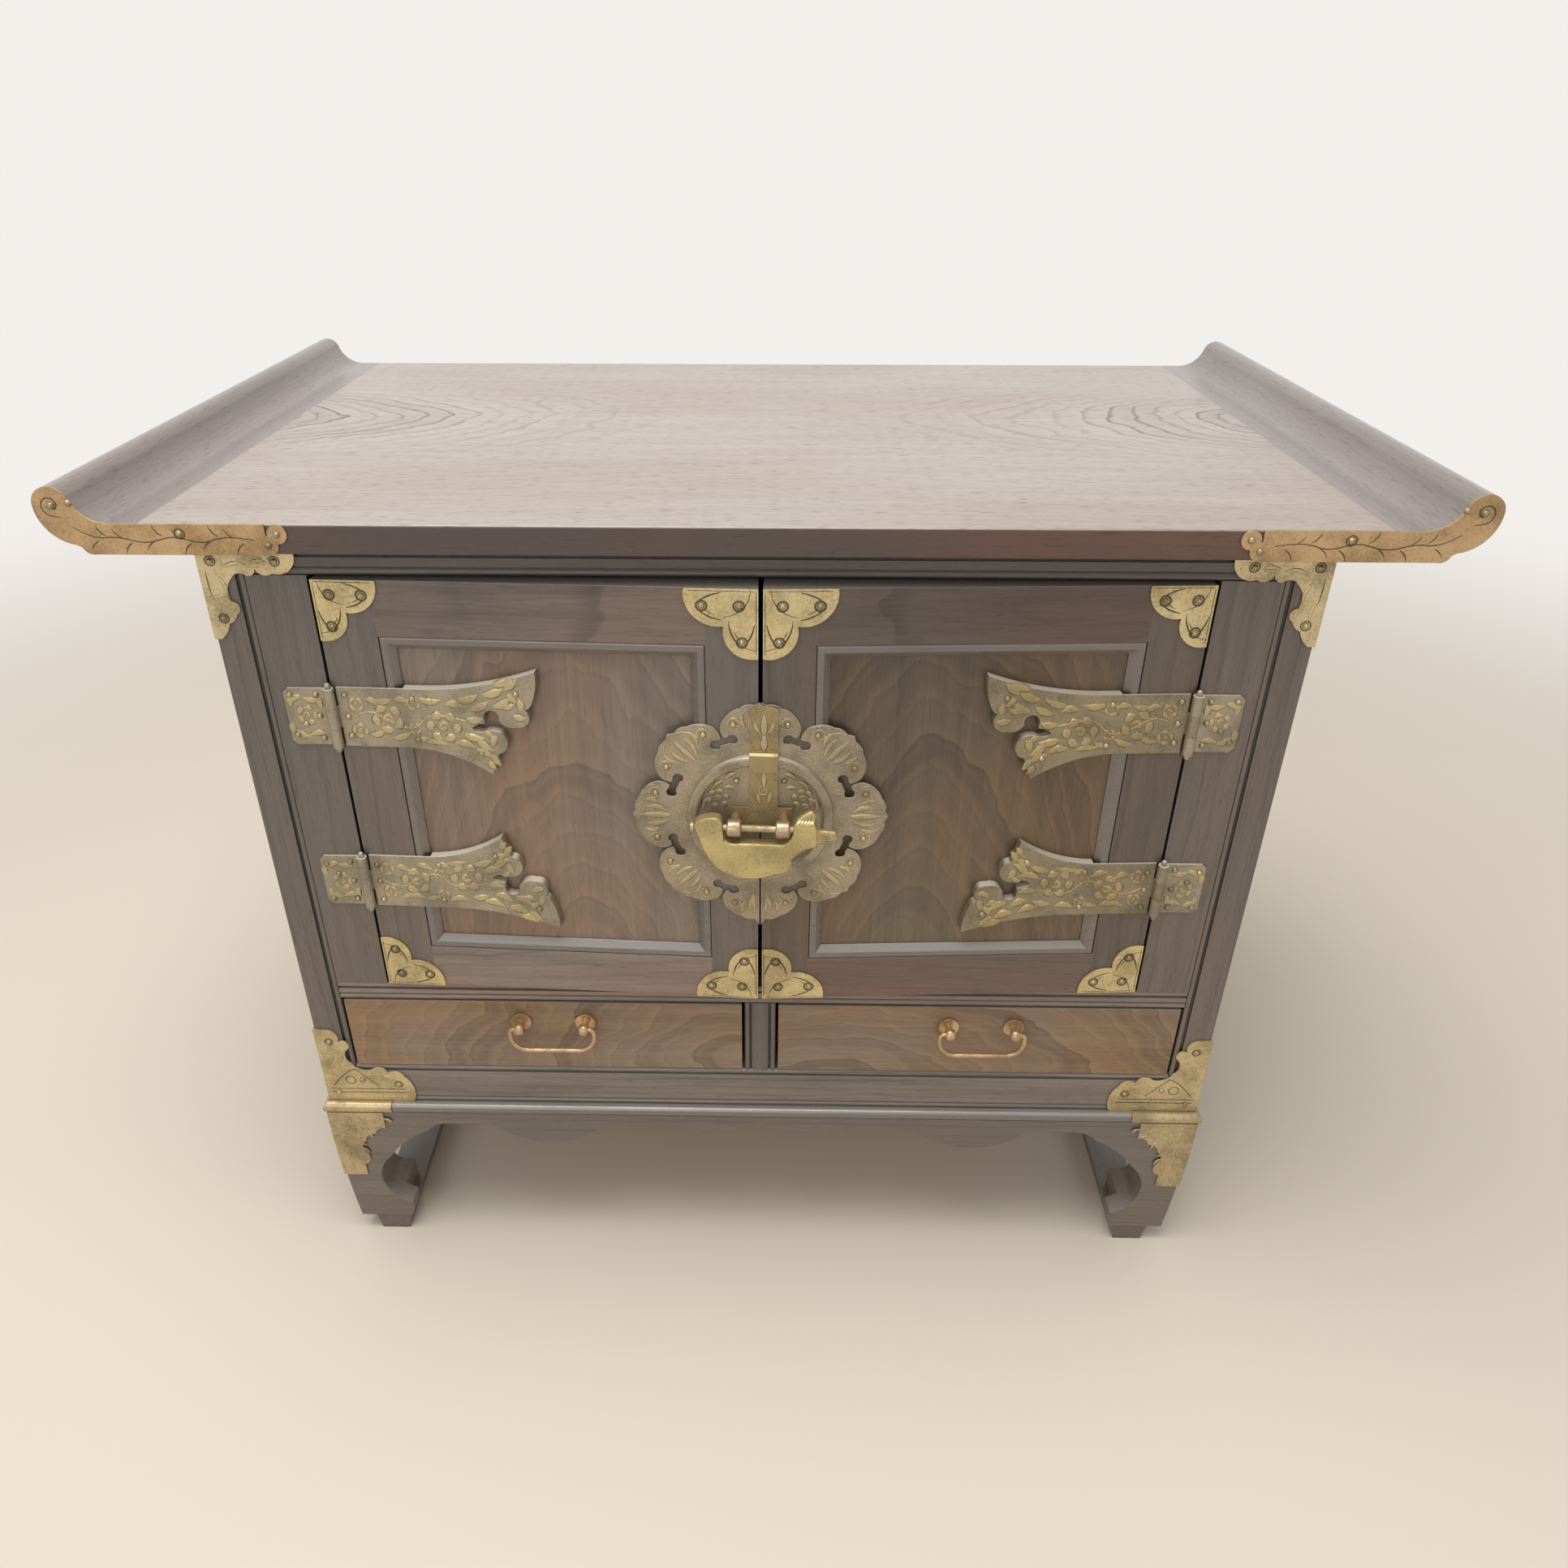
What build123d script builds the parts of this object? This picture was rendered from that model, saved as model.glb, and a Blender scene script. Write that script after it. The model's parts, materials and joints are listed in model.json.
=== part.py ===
"""Korean chest on a low stand: two doors over two drawers, under a top with rolled scroll ends.

Millimetres, +Z up.  The origin is on the floor below the middle of the chest; the front faces -Y.
Right-hand pieces are modelled and left-hand ones are their mirror images.
"""
import os
from math import cos, radians, sin

from build123d import *

os.makedirs("parts", exist_ok=True)

# ---------------------------------------------------------------- case
case_width = 660.0
case_depth = 443.0
stand_height = 140.0
bottom_rail_height = 36.5
drawer_opening_height = 64.5
middle_rail_height = 15.0
door_opening_height = 308.0
top_rail_height = 17.0
post_width = 25.0
front_post_depth = 30.0
back_post_depth = 20.0
side_rail_thickness = 20.0
side_top_rail_height = 34.0
side_middle_rail_height = 30.0
panel_thickness = 8.0
panel_set_back = 4.0
floor_thickness = 12.0
bead_radius = 2.2
bead_quirk = 1.4
jamb_thickness = 20.0

# ---------------------------------------------------------------- doors
door_opening_width = 537.0
door_thickness = 20.0
door_gap = 1.0
door_side_gap = 1.8
door_top_gap = 2.0
meeting_gap = 2.4
door_ajar = 2.6
meeting_bevel = 1.3
hinge_stile_width = 35.0
meeting_stile_width = 32.0
door_top_rail_width = 36.0
door_bottom_rail_width = 34.0
door_panel_thickness = 7.0
door_panel_recess = 5.0
moulding_width = 9.0
moulding_round = 1.6
moulding_slope = 6.0

# ---------------------------------------------------------------- drawers
divider_width = 23.0
drawer_gap = 1.0
drawer_side_gap = 1.8
drawer_front_thickness = 18.0
drawer_back_gap = 25.0
drawer_side_thickness = 8.0
drawer_side_height = 54.0
drawer_bottom_thickness = 5.0
drawer_bottom_lift = 5.0
drawer_side_inset = 1.5
drawer_run = 0.3
partition_thickness = 10.0
guide_height = 12.0
guide_gap = 0.5
pull_spacing = 47.0
pull_height = 222.0
left_pull_x = -151.5
right_pull_x = 161.0
pull_reach = 9.0
pull_rosette_radius = 7.5
pull_rosette_thickness = 1.6
pull_stem_radius = 2.6
pull_ball_radius = 4.6
pull_ball_width = 6.4
pull_fit = 0.05
bail_radius = 1.7
bail_pin_inset = 2.4
bail_shoulder_gap = 0.4
bail_shoulder_bend = 3.5
bail_corner_bend = 13.0
bail_drop = 20.0

# ---------------------------------------------------------------- top
top_thickness = 18.0
top_front_overhang = 13.0
top_back_overhang = 14.0
top_seam_overhang = 24.0
top_edge_round = 1.5
scroll_flat = 26.5
scroll_step = (36.4, 5.5)
scroll_roll_radius = 10.6
scroll_roll_centre = (45.0, 28.4)
scroll_upper_start = 14.5
top_plate_reach = 73.0
top_plate_lobe_step = 6.5
top_plate_lobe_inset = 0.5

# ---------------------------------------------------------------- stand
lip_thickness = 8.0
lip_width = 44.0
lip_round = 3.6
lip_front_overhang = 6.0
lip_side_overhang = 4.0
lip_back_overhang = 4.0
leg_set_back = 1.5
apron_thickness = 16.0
leg_block = 42.0
leg_spandrel = 73.5
runner_height = 16.0
runner_top_width = 29.0
runner_foot_width = 22.0
runner_inset = 18.0
runner_end_inset = 1.0
leg_taper = 7.0
leg_hollow_drop = 72.0
leg_spandrel_drop = 20.0

# ---------------------------------------------------------------- brass
brass_thickness = 1.2
hinge_brass = 1.4
nail_radius = 2.1
hinge_upper_drop = 92.5
hinge_lower_rise = 91.0
leaf_reach = 29.5
leaf_half_height = 19.7
leaf_clip = 3.0
strap_backing_start = 46.0
knuckle_radius = 3.4
knuckle_half_length = 20.4
middle_knuckle_half = 7.2
knuckle_gap = 0.3
knuckle_rise = 0.2
pin_radius = 1.6
pin_fit = 0.05
pin_ball_radius = 2.0
plate_edge_gap = 0.6

# ---------------------------------------------------------------- lock
lock_drop = 3.0
lobe_count = 8
lobe_reach = 82.5
lower_tip_reach = 85.5
lobe_nail_reach = 69.0
lobe_nail_angle = 14.0
ring_outer_radius = 46.8
ring_inner_radius = 39.9
ring_rise = 4.0
ring_round = 1.8
plate_seam = 0.3
lap_edge = 11.5
lap_left_edge = -6.5
lap_thickness = 1.2
lap_gap = 0.4
lap_top = 84.0
staple_seat_half_width = 20.5
staple_seat_half_height = 7.0
bar_rise = 2.1
bar_reach = 17.0
bar_radius = 2.2
bar_fit = 0.1
staple_offset = 15.4
staple_length = 9.0
staple_radius = 5.6
staple_stem_radius = 3.0
padlock_thickness = 8.5
padlock_tail_start = 37.0
fin_thickness = 4.0
bar_end = 27.0
bar_start = -42.9
bar_knob_radius = 3.4
bar_knob_length = 2.0

# ---------------------------------------------------------------- places worked out from the sizes
case_half = case_width / 2
drawer_floor_z = stand_height + bottom_rail_height
drawer_top_z = drawer_floor_z + drawer_opening_height
door_floor_z = drawer_top_z + middle_rail_height
door_top_z = door_floor_z + door_opening_height
case_top_z = door_top_z + top_rail_height
jamb_edge = door_opening_width / 2
hinge_x = jamb_edge - door_side_gap / 2
hinge_reach = knuckle_rise + knuckle_radius
ajar_sine, ajar_cosine = sin(radians(door_ajar)), cos(radians(door_ajar))
front_reach = (hinge_reach + (bar_reach + padlock_thickness / 2 - hinge_reach) * ajar_cosine
               + (hinge_x + padlock_tail_start) * ajar_sine)
front_y = front_reach - (front_reach + case_depth + top_back_overhang) / 2
back_y = front_y + case_depth
post_inner = case_half - post_width
rail_inner = case_half - side_rail_thickness
front_post_back = front_y + front_post_depth
back_post_front = back_y - back_post_depth
hinge_y = front_y - hinge_reach
door_outer = jamb_edge - door_side_gap
door_inner = meeting_gap / 2
door_low = door_floor_z + door_gap
door_high = door_top_z - door_top_gap
hinge_upper_height = door_top_z - hinge_upper_drop
hinge_lower_height = door_floor_z + hinge_lower_rise
lock_height = (door_floor_z + door_top_z) / 2 - lock_drop
bar_height = lock_height + bar_rise
top_seam = case_half + top_seam_overhang
top_plate_lobe = (top_thickness - 1) / 3
top_plate_lobes = [(top_seam - top_plate_reach - top_plate_lobe_step, case_top_z + top_thickness - top_plate_lobe),
                   (top_seam - top_plate_reach - top_plate_lobe_inset, case_top_z + top_plate_lobe)]
lip_half = case_half + lip_side_overhang
lip_front = front_y - lip_front_overhang
lip_back = back_y + lip_back_overhang
lip_low = stand_height - lip_thickness
leg_x = lip_half - leg_set_back
leg_y = lip_front + leg_set_back
leg_back_y = lip_back - leg_set_back

FRONT = Plane(origin=(0, front_y, 0), x_dir=(1, 0, 0), z_dir=(0, -1, 0))
MIRROR_DEPTH = Plane.XZ.offset(-(leg_y + leg_back_y) / 2)


# ---------------------------------------------------------------- helpers
def save(part, name):
    """Label a finished piece and write it as a STEP file of its own."""
    part.label = name
    export_step(part, f"parts/{name}.step")


def group(*parts):
    """Several separate solids that share a node."""
    return Compound([solid for part in parts for solid in part.solids()])


def other_side(part):
    """The mirror image on the left of the chest."""
    return mirror(part, about=Plane.YZ)


def pair(part):
    """A right-hand piece and its mirror image, in one node."""
    return group(part, other_side(part))


def save_both(part, name):
    """A right-hand piece and its mirror image, each in a node of its own."""
    save(group(part), f"right_{name}")
    save(group(other_side(part)), f"left_{name}")


def hung(part, side):
    """A door's piece, turned on its hinge to where the doors rest, a little ajar."""
    return group(part).rotate(Axis((side * hinge_x, hinge_y, 0), (0, 0, 1)), side * door_ajar)


def save_hung(part, name):
    """A piece of the right-hand door and its mirror image on the left one."""
    save_both(hung(part, 1), name)


def board(x, y, z):
    """A plain board between two values in each direction."""
    with BuildPart() as piece:
        with Locations(((x[0] + x[1]) / 2, (y[0] + y[1]) / 2, (z[0] + z[1]) / 2)):
            Box(x[1] - x[0], y[1] - y[0], z[1] - z[0])
    return piece.part


def facing(y):
    """The plane of the front view at a given depth: local x is X and local y is Z."""
    return Plane(origin=(0, y, 0), x_dir=(1, 0, 0), z_dir=(0, -1, 0))


def side_view(x):
    """The plane of the view from the right: local x is Y and local y is Z."""
    return Plane(origin=(x, 0, 0), x_dir=(0, 1, 0), z_dir=(1, 0, 0))


def shape(start, *steps, at=(0, 0), side=1, up=1):
    """A closed outline in the sketch.  A step is a point, or a pair (via, end) that makes an arc."""
    def place(point):
        return (at[0] + side * point[0], at[1] + up * point[1])

    with BuildLine() as line:
        here = place(start)
        for step in steps:
            if isinstance(step[0], tuple):
                end = place(step[1])
                ThreePointArc(here, place(step[0]), end)
            else:
                end = place(step)
                Line(here, end)
            here = end
        Line(here, place(start))
    make_face(line.edges())


def beaded_section(front, back, low, high, beads):
    """A rail or post section, local (depth, across), with quirked beads on its front edges.

    Each bead is the edge that it runs along and the direction from there into the wood.
    """
    with Locations(((front + back) / 2, (low + high) / 2)):
        Rectangle(back - front, high - low)
    span = 2 * bead_radius + bead_quirk
    for edge, inward in beads:
        with Locations((front + bead_radius / 2, edge + inward * span / 2)):
            Rectangle(bead_radius, span, mode=Mode.SUBTRACT)
        with Locations((front + bead_radius, edge + inward * bead_radius)):
            Circle(bead_radius)


def beaded_rail(low, high, beads):
    """A front rail between the posts."""
    with BuildPart() as rail:
        with BuildSketch(side_view(-post_inner)):
            beaded_section(front_y, front_post_back, low, high, beads)
        extrude(amount=2 * post_inner)
    return rail.part


def upright(low_x, high_x, low_z, high_z, beads):
    """A front post or divider that stands between two heights."""
    plane = Plane(origin=(0, 0, high_z), x_dir=(0, 1, 0), z_dir=(0, 0, -1))
    with BuildPart() as post:
        with BuildSketch(plane):
            beaded_section(front_y, front_post_back, low_x, high_x, beads)
        extrude(amount=high_z - low_z)
    return post.part


def nail_heads(points, plane=FRONT, rise=0.0):
    """Round nail heads on a plane, lifted off it by the brass that they hold."""
    with BuildPart(plane.offset(rise)) as heads:
        with Locations(*points):
            Sphere(nail_radius, arc_size1=0, align=(Align.CENTER, Align.CENTER, Align.MIN))
    return heads.part


# ---------------------------------------------------------------- stand
def lip_blank(proud=0.0):
    """The rounded frame that the case stands on, before it is cut into four rails."""
    with BuildPart() as frame:
        with BuildSketch(Plane.XY.offset(lip_low)):
            with Locations((0, (lip_front + lip_back) / 2)):
                Rectangle(2 * (lip_half + proud), lip_back - lip_front + 2 * proud)
        extrude(amount=lip_thickness + proud)
        edges = frame.faces().sort_by(Axis.Z)[0].edges() + frame.faces().sort_by(Axis.Z)[-1].edges()
        fillet(edges, lip_round + proud / 2)
    return frame.part


def stand_lip():
    """Four rails, mitred at the corners of the blank."""
    inner_x, inner_front, inner_back = lip_half - lip_width, lip_front + lip_width, lip_back - lip_width
    corners = [(-lip_half, lip_front), (lip_half, lip_front), (lip_half, lip_back), (-lip_half, lip_back)]
    inner = [(-inner_x, inner_front), (inner_x, inner_front), (inner_x, inner_back), (-inner_x, inner_back)]
    rails = []
    for index in range(len(corners)):
        following = (index + 1) % len(corners)
        with BuildPart() as rail:
            add(lip_blank())
            with BuildSketch(Plane.XY.offset(lip_low)):
                with BuildLine():
                    Polyline(corners[index], corners[following], inner[following], inner[index], close=True)
                make_face()
            extrude(amount=lip_thickness, mode=Mode.INTERSECT)
        rails.append(rail.part)
    return group(*rails)


def leg_outline(at, side, taper, proud=0.0):
    """View of a leg, measured inward from its outer face: a C scroll between toe and spandrel."""
    middle = (lip_low + runner_height) / 2
    toe = (taper - proud, runner_height)
    shape((-proud, lip_low), ((0.25 * taper - proud, middle), toe) if taper else toe,
          (leg_block + 6.3, runner_height),
          ((leg_block + 8.6, runner_height + 7.5), (leg_block + 8.5, runner_height + 15.0)),
          ((leg_block - 3.0, runner_height + 22.6), (leg_block - 12.0, lip_low - leg_hollow_drop)),
          ((leg_block - 9.0, lip_low - 59.0), (leg_block - 1.0, lip_low - 48.5)),
          ((leg_block + 12.0, lip_low - 32.5), (leg_spandrel, lip_low - leg_spandrel_drop)), (leg_spandrel, lip_low),
          at=at, side=side)


def leg_blank(proud=0.0):
    """The same outline cut from the front and from the side, where the outer face is upright."""
    with BuildPart() as leg:
        with BuildSketch(facing(leg_y - proud)):
            leg_outline((leg_x, 0), -1, leg_taper, proud)
        extrude(amount=-(leg_spandrel + proud))
        with BuildSketch(side_view(leg_x + proud)):
            leg_outline((leg_y, 0), 1, 0.0, proud)
        extrude(amount=-(leg_spandrel + proud), mode=Mode.INTERSECT)
    return leg.part


def front_leg():
    """A leg with thin spandrels that carry on the line of the aprons."""
    with BuildPart() as leg:
        add(leg_blank())
        hollow = leg_spandrel - apron_thickness
        beyond = leg_spandrel - leg_block
        tall = lip_low - runner_height
        with Locations((leg_x - leg_block - beyond / 2, leg_y + apron_thickness + hollow / 2, runner_height + tall / 2)):
            Box(beyond, hollow, tall, mode=Mode.SUBTRACT)
        with Locations((leg_x - apron_thickness - hollow / 2, leg_y + leg_block + beyond / 2, runner_height + tall / 2)):
            Box(hollow, beyond, tall, mode=Mode.SUBTRACT)
        add(board((0, leg_x - apron_thickness), (leg_y + apron_thickness, leg_back_y), (lip_low - leg_hollow_drop, lip_low)),
            mode=Mode.SUBTRACT)
    return leg.part


def apron_edge(stretch):
    """One half of the cusped lower edge below the lip, from the leg to the middle."""
    points = [(240.0, -11.5), (214.0, -11.5), (196.0, -19.5), (164.0, -29.7), (132.0, -19.5), (104.0, -8.2),
              (36.0, -15.4), (17.0, -10.5), (0.0, -1.0)]
    vias = [(251.0, -13.4), None, (204.0, -14.0), (181.0, -26.8), (147.0, -27.0), (117.0, -13.6),
            (71.0, -10.4), (25.0, -15.0), (7.0, -6.0)]
    steps = []
    for via, end in zip(vias, points):
        end = (end[0] * stretch, end[1])
        steps.append(end if via is None else ((via[0] * stretch, via[1]), end))
    return steps


def apron(plane, centre, half):
    """An apron board whose lower edge is cusped on both sides of the middle."""
    halves = []
    stretch = half / (leg_x - leg_spandrel)
    for side in (1, -1):
        with BuildPart() as board_half:
            with BuildSketch(plane):
                shape((half, -leg_spandrel_drop), *apron_edge(stretch), (0, 0), (half, 0),
                      at=(centre, lip_low), side=side)
            extrude(amount=-apron_thickness)
        halves.append(board_half.part)
    with BuildPart() as whole:
        add(halves[0])
        add(halves[1])
    return whole.part


def runner():
    """A floor runner that joins a front foot to a back foot; its end shows as the foot's pad."""
    centre = leg_x - runner_inset - runner_top_width / 2
    with BuildPart() as strip:
        with BuildSketch(facing(leg_y + runner_end_inset)):
            with BuildLine():
                Polyline((centre - runner_top_width / 2, runner_height), (centre + runner_top_width / 2, runner_height),
                         (centre + runner_foot_width / 2, 0), (centre - runner_foot_width / 2, 0), close=True)
            make_face()
        extrude(amount=-(leg_back_y - leg_y - 2 * runner_end_inset))
    return strip.part


def stand_shoe_outline(at, side):
    """A stand corner's brass, measured inward from the outer edge and down from the lip."""
    shape((-brass_thickness, 0), (50.5, 0), ((48.5, -8.5), (43.0, -15.0)), ((37.5, -16.5), (33.0, -22.5)),
          ((27.5, -24.5), (24.5, -30.5)), ((20.8, -36.5), (23.0, -43.0)), ((24.8, -50.5), (19.5, -56.0)),
          ((13.5, -55.0), (8.5, -59.5)), ((7.5, -64.5), (4.5, -68.0)), (-brass_thickness, -68.0), at=at, side=side)


def stand_shoe():
    """Brass that covers the outer corner of a front leg and the lip above it."""
    reach = 51.5
    blank = leg_blank(brass_thickness)
    leg = leg_blank()
    with BuildPart() as front:
        add(blank)
        add(leg, mode=Mode.SUBTRACT)
        with BuildSketch(facing(leg_y - brass_thickness)):
            stand_shoe_outline((leg_x, lip_low), -1)
        extrude(amount=-leg_block / 2, mode=Mode.INTERSECT)
    with BuildPart() as flank:
        add(blank)
        add(leg, mode=Mode.SUBTRACT)
        with BuildSketch(side_view(leg_x + brass_thickness)):
            stand_shoe_outline((leg_y, lip_low), 1)
        extrude(amount=-leg_block / 2, mode=Mode.INTERSECT)
    with BuildPart() as shoe:
        add(front.part)
        add(flank.part)
        with Locations((0, 0, 0)):
            add(board((0, leg_x - leg_block), (leg_y - 9, leg_back_y), (0, stand_height)), mode=Mode.SUBTRACT)
    with BuildPart() as cap:
        add(lip_blank(brass_thickness))
        add(lip_blank(), mode=Mode.SUBTRACT)
        add(board((lip_half - reach, lip_half + 9), (lip_front - 9, lip_front + reach), (lip_low, case_top_z)),
            mode=Mode.INTERSECT)
        clear = brass_thickness + lap_gap
        add(board((0, case_half + clear), (front_y - clear, back_y), (0, case_top_z)), mode=Mode.SUBTRACT)
    return group(shoe.part, cap.part)


def make_stand():
    save(stand_lip(), "stand_lip")
    half = leg_x - leg_spandrel
    front = apron(facing(leg_y), 0, half)
    save(group(front), "stand_front_apron")
    save(group(mirror(front, about=MIRROR_DEPTH)), "stand_back_apron")
    side_half = (leg_back_y - leg_y) / 2 - leg_spandrel
    save(pair(apron(side_view(leg_x), (leg_y + leg_back_y) / 2, side_half)), "stand_side_aprons")
    leg = front_leg()
    save(pair(leg), "stand_front_legs")
    save(pair(mirror(leg, about=MIRROR_DEPTH)), "stand_back_legs")
    save(pair(runner()), "stand_runners")
    save(pair(stand_shoe()), "stand_corner_brass")


# ---------------------------------------------------------------- case
def case_levels():
    """Heights of the three rails that each side and the back have."""
    middle = (drawer_top_z + door_floor_z) / 2
    return [(stand_height, drawer_floor_z + panel_set_back),
            (middle - side_middle_rail_height / 2, middle + side_middle_rail_height / 2),
            (case_top_z - side_top_rail_height, case_top_z)]


def make_case_frame():
    save_both(upright(post_inner, case_half, stand_height, case_top_z, [(post_inner, 1)]), "front_post")
    back_post = board((post_inner, case_half), (back_post_front, back_y), (stand_height, case_top_z))
    save(pair(back_post), "back_posts")
    levels = case_levels()
    side_y = (front_post_back, back_post_front)
    side_rails = group(*[board((rail_inner, case_half), side_y, level) for level in levels])
    save(pair(side_rails), "side_rails")
    bays = [(levels[0][1], levels[1][0]), (levels[1][1], levels[2][0])]
    panel_x = (case_half - panel_set_back - panel_thickness, case_half - panel_set_back)
    save(pair(group(*[board(panel_x, side_y, bay) for bay in bays])), "side_panels")
    across = (-post_inner, post_inner)
    save(group(*[board(across, (back_post_front, back_y), level) for level in levels]), "back_rails")
    panel_y = (back_y - panel_set_back - panel_thickness, back_y - panel_set_back)
    save(group(*[board(across, panel_y, bay) for bay in bays]), "back_panels")
    save(beaded_rail(door_top_z, case_top_z, [(door_top_z, 1), (case_top_z, -1)]), "top_rail")
    save(beaded_rail(drawer_top_z, door_floor_z, [(drawer_top_z, 1), (door_floor_z, -1)]), "middle_rail")
    save(beaded_rail(stand_height, drawer_floor_z, [(drawer_floor_z, -1), (stand_height, 1)]), "bottom_rail")


def make_case_inside():
    inside = (-rail_inner, rail_inner)
    behind = (front_post_back, back_post_front)
    save(board(inside, behind, (drawer_floor_z - floor_thickness, drawer_floor_z)), "case_bottom")
    save(board(inside, behind, (door_floor_z - floor_thickness, door_floor_z)), "tier_floor")
    jamb = board((jamb_edge, post_inner), (front_y, front_y + jamb_thickness), (door_floor_z, door_top_z))
    save(pair(jamb), "jamb_boards")
    half = divider_width / 2
    save(upright(-half, half, drawer_floor_z, drawer_top_z, [(half, -1), (-half, 1)]), "drawer_divider")
    partition = board((-partition_thickness / 2, partition_thickness / 2), behind,
                      (drawer_floor_z, door_floor_z - floor_thickness))
    guide_z = (drawer_floor_z, drawer_floor_z + guide_height)
    reach = drawer_side_gap + drawer_side_inset - guide_gap
    outer = board((post_inner - reach, rail_inner), behind, guide_z)
    inner = board((partition_thickness / 2, half + reach), behind, guide_z)
    save(group(partition, pair(outer), pair(inner)), "drawer_guides")


# ---------------------------------------------------------------- top
def scroll_outline():
    """Section of a rolled end, from the seam with the flat board outward and from its underside up."""
    u, v = scroll_roll_centre
    r = scroll_roll_radius
    inner = (u + r * cos(radians(150)), v + r * sin(radians(150)))
    shape((0, 0), (scroll_flat, 0), ((scroll_flat + 5.0, 1.0), (scroll_flat + 7.2, 4.0)), scroll_step,
          ((u + 5.5, v - 15.0), (u + r, v)), ((u, v + r), inner),
          ((u - 17.5, v - 6.6), (scroll_upper_start, top_thickness)), (0, top_thickness),
          at=(top_seam, case_top_z))


def make_top():
    seam = top_seam
    y = (front_y - top_front_overhang, back_y + top_back_overhang)
    with BuildPart() as flat:
        add(board((-seam, seam), y, (case_top_z, case_top_z + top_thickness)))
        fillet(flat.edges().filter_by(Axis.X).group_by(Axis.Y)[0], top_edge_round)
    save(flat.part, "top_board")
    with BuildPart() as scroll:
        with BuildSketch(facing(y[0])):
            scroll_outline()
        extrude(amount=-(y[1] - y[0]))
    save_both(scroll.part, "scroll_end")
    with BuildPart() as plate:
        with BuildSketch(facing(y[0])):
            scroll_outline()
            with Locations((seam - top_plate_reach / 2, case_top_z + top_thickness / 2)):
                Rectangle(top_plate_reach, top_thickness)
            with Locations(*top_plate_lobes):
                Circle(top_plate_lobe)
        extrude(amount=brass_thickness)
    save(pair(plate.part), "top_end_brass")


# ---------------------------------------------------------------- case brass and nails
def upper_mount_outline(at, side):
    shape((-brass_thickness, 0), (56.0, 0), ((53.0, -13.5), (42.1, -15.7)), ((36.0, -16.5), (32.3, -12.6)),
          ((30.6, -16.2), (27.0, -17.2)), ((21.0, -15.8), (17.6, -18.5)), ((13.6, -25.5), (14.1, -33.1)),
          ((18.4, -37.0), (15.9, -41.5)), ((13.4, -45.5), (10.0, -47.5)), ((7.5, -53.0), (3.3, -57.4)),
          (-brass_thickness, -57.4), at=at, side=side)


def lower_mount_outline(at, side):
    shape((-brass_thickness, 0), (64.5, 0), ((66.0, 16.0), (60.5, 26.0)), ((55.5, 31.0), (48.5, 29.5)), ((43.0, 35.0), (36.5, 32.6)),
          ((27.5, 33.0), (22.6, 38.5)), ((18.6, 45.0), (21.9, 53.0)), ((20.5, 60.5), (15.5, 60.0)),
          ((15.0, 68.0), (7.7, 71.0)), (-brass_thickness, 72.0), at=at, side=side)


def corner_mount(outline, z):
    """A mount that wraps the case's front corner; its two wings share one outline."""
    with BuildPart() as mount:
        with BuildSketch(facing(front_y)):
            outline((case_half, z), -1)
        extrude(amount=brass_thickness)
        with BuildSketch(side_view(case_half)):
            outline((front_y, z), 1)
        extrude(amount=brass_thickness)
    return mount.part


def hinge_nail_points(side, up, height):
    """Nail places on a fixed leaf, in the front view."""
    return [(side * (hinge_x + s), height + up * t)
            for s, t in ((9.0, 15.5), (9.0, 0.5), (9.0, -15.0), (25.5, 15.3), (18.5, -5.0), (25.5, -13.0))]


def make_case_brass():
    mounts = group(corner_mount(upper_mount_outline, case_top_z), corner_mount(lower_mount_outline, stand_height))
    save(pair(mounts), "case_corner_brass")
    upper = [(case_half - 7.0, case_top_z - 8.0), (case_half - 7.5, case_top_z - 44.0), (case_half - 45, case_top_z - 8)]
    lower = [(case_half - 8.0, stand_height + 9.0), (case_half - 9.0, stand_height + 60.0),
             (case_half - 55.0, stand_height + 18.0), (case_half - 28.0, stand_height + 22.0)]
    flank = [(front_y + case_half - x, z) for x, z in upper + lower]
    seam = top_seam
    u, v = scroll_roll_centre
    top = [(seam + u, case_top_z + v), (seam + u - 10.2, case_top_z + v + 1.5), (seam - 24.0, case_top_z + 12.5),
           *top_plate_lobes]
    heads = [pair(nail_heads(upper + lower, FRONT, brass_thickness)),
             pair(nail_heads(flank, side_view(case_half), brass_thickness)),
             pair(nail_heads(top, facing(front_y - top_front_overhang), brass_thickness))]
    for height, up in ((hinge_upper_height, 1), (hinge_lower_height, -1)):
        heads.append(pair(nail_heads(hinge_nail_points(1, up, height), FRONT, hinge_brass)))
    save(group(*heads), "case_nails")


# ---------------------------------------------------------------- hinges
def knuckle(low, high):
    """One barrel length of a hinge, bored for the pin."""
    with BuildPart() as barrel:
        with Locations((hinge_x, hinge_y, low)):
            Cylinder(knuckle_radius, high - low, align=(Align.CENTER, Align.CENTER, Align.MIN))
    return barrel.part


def bore(height):
    """The pin's hole through a hinge at a height."""
    with BuildPart() as hole:
        with Locations((hinge_x, hinge_y, height)):
            Cylinder(pin_radius + pin_fit, 4 * knuckle_half_length)
    return hole.part


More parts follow.
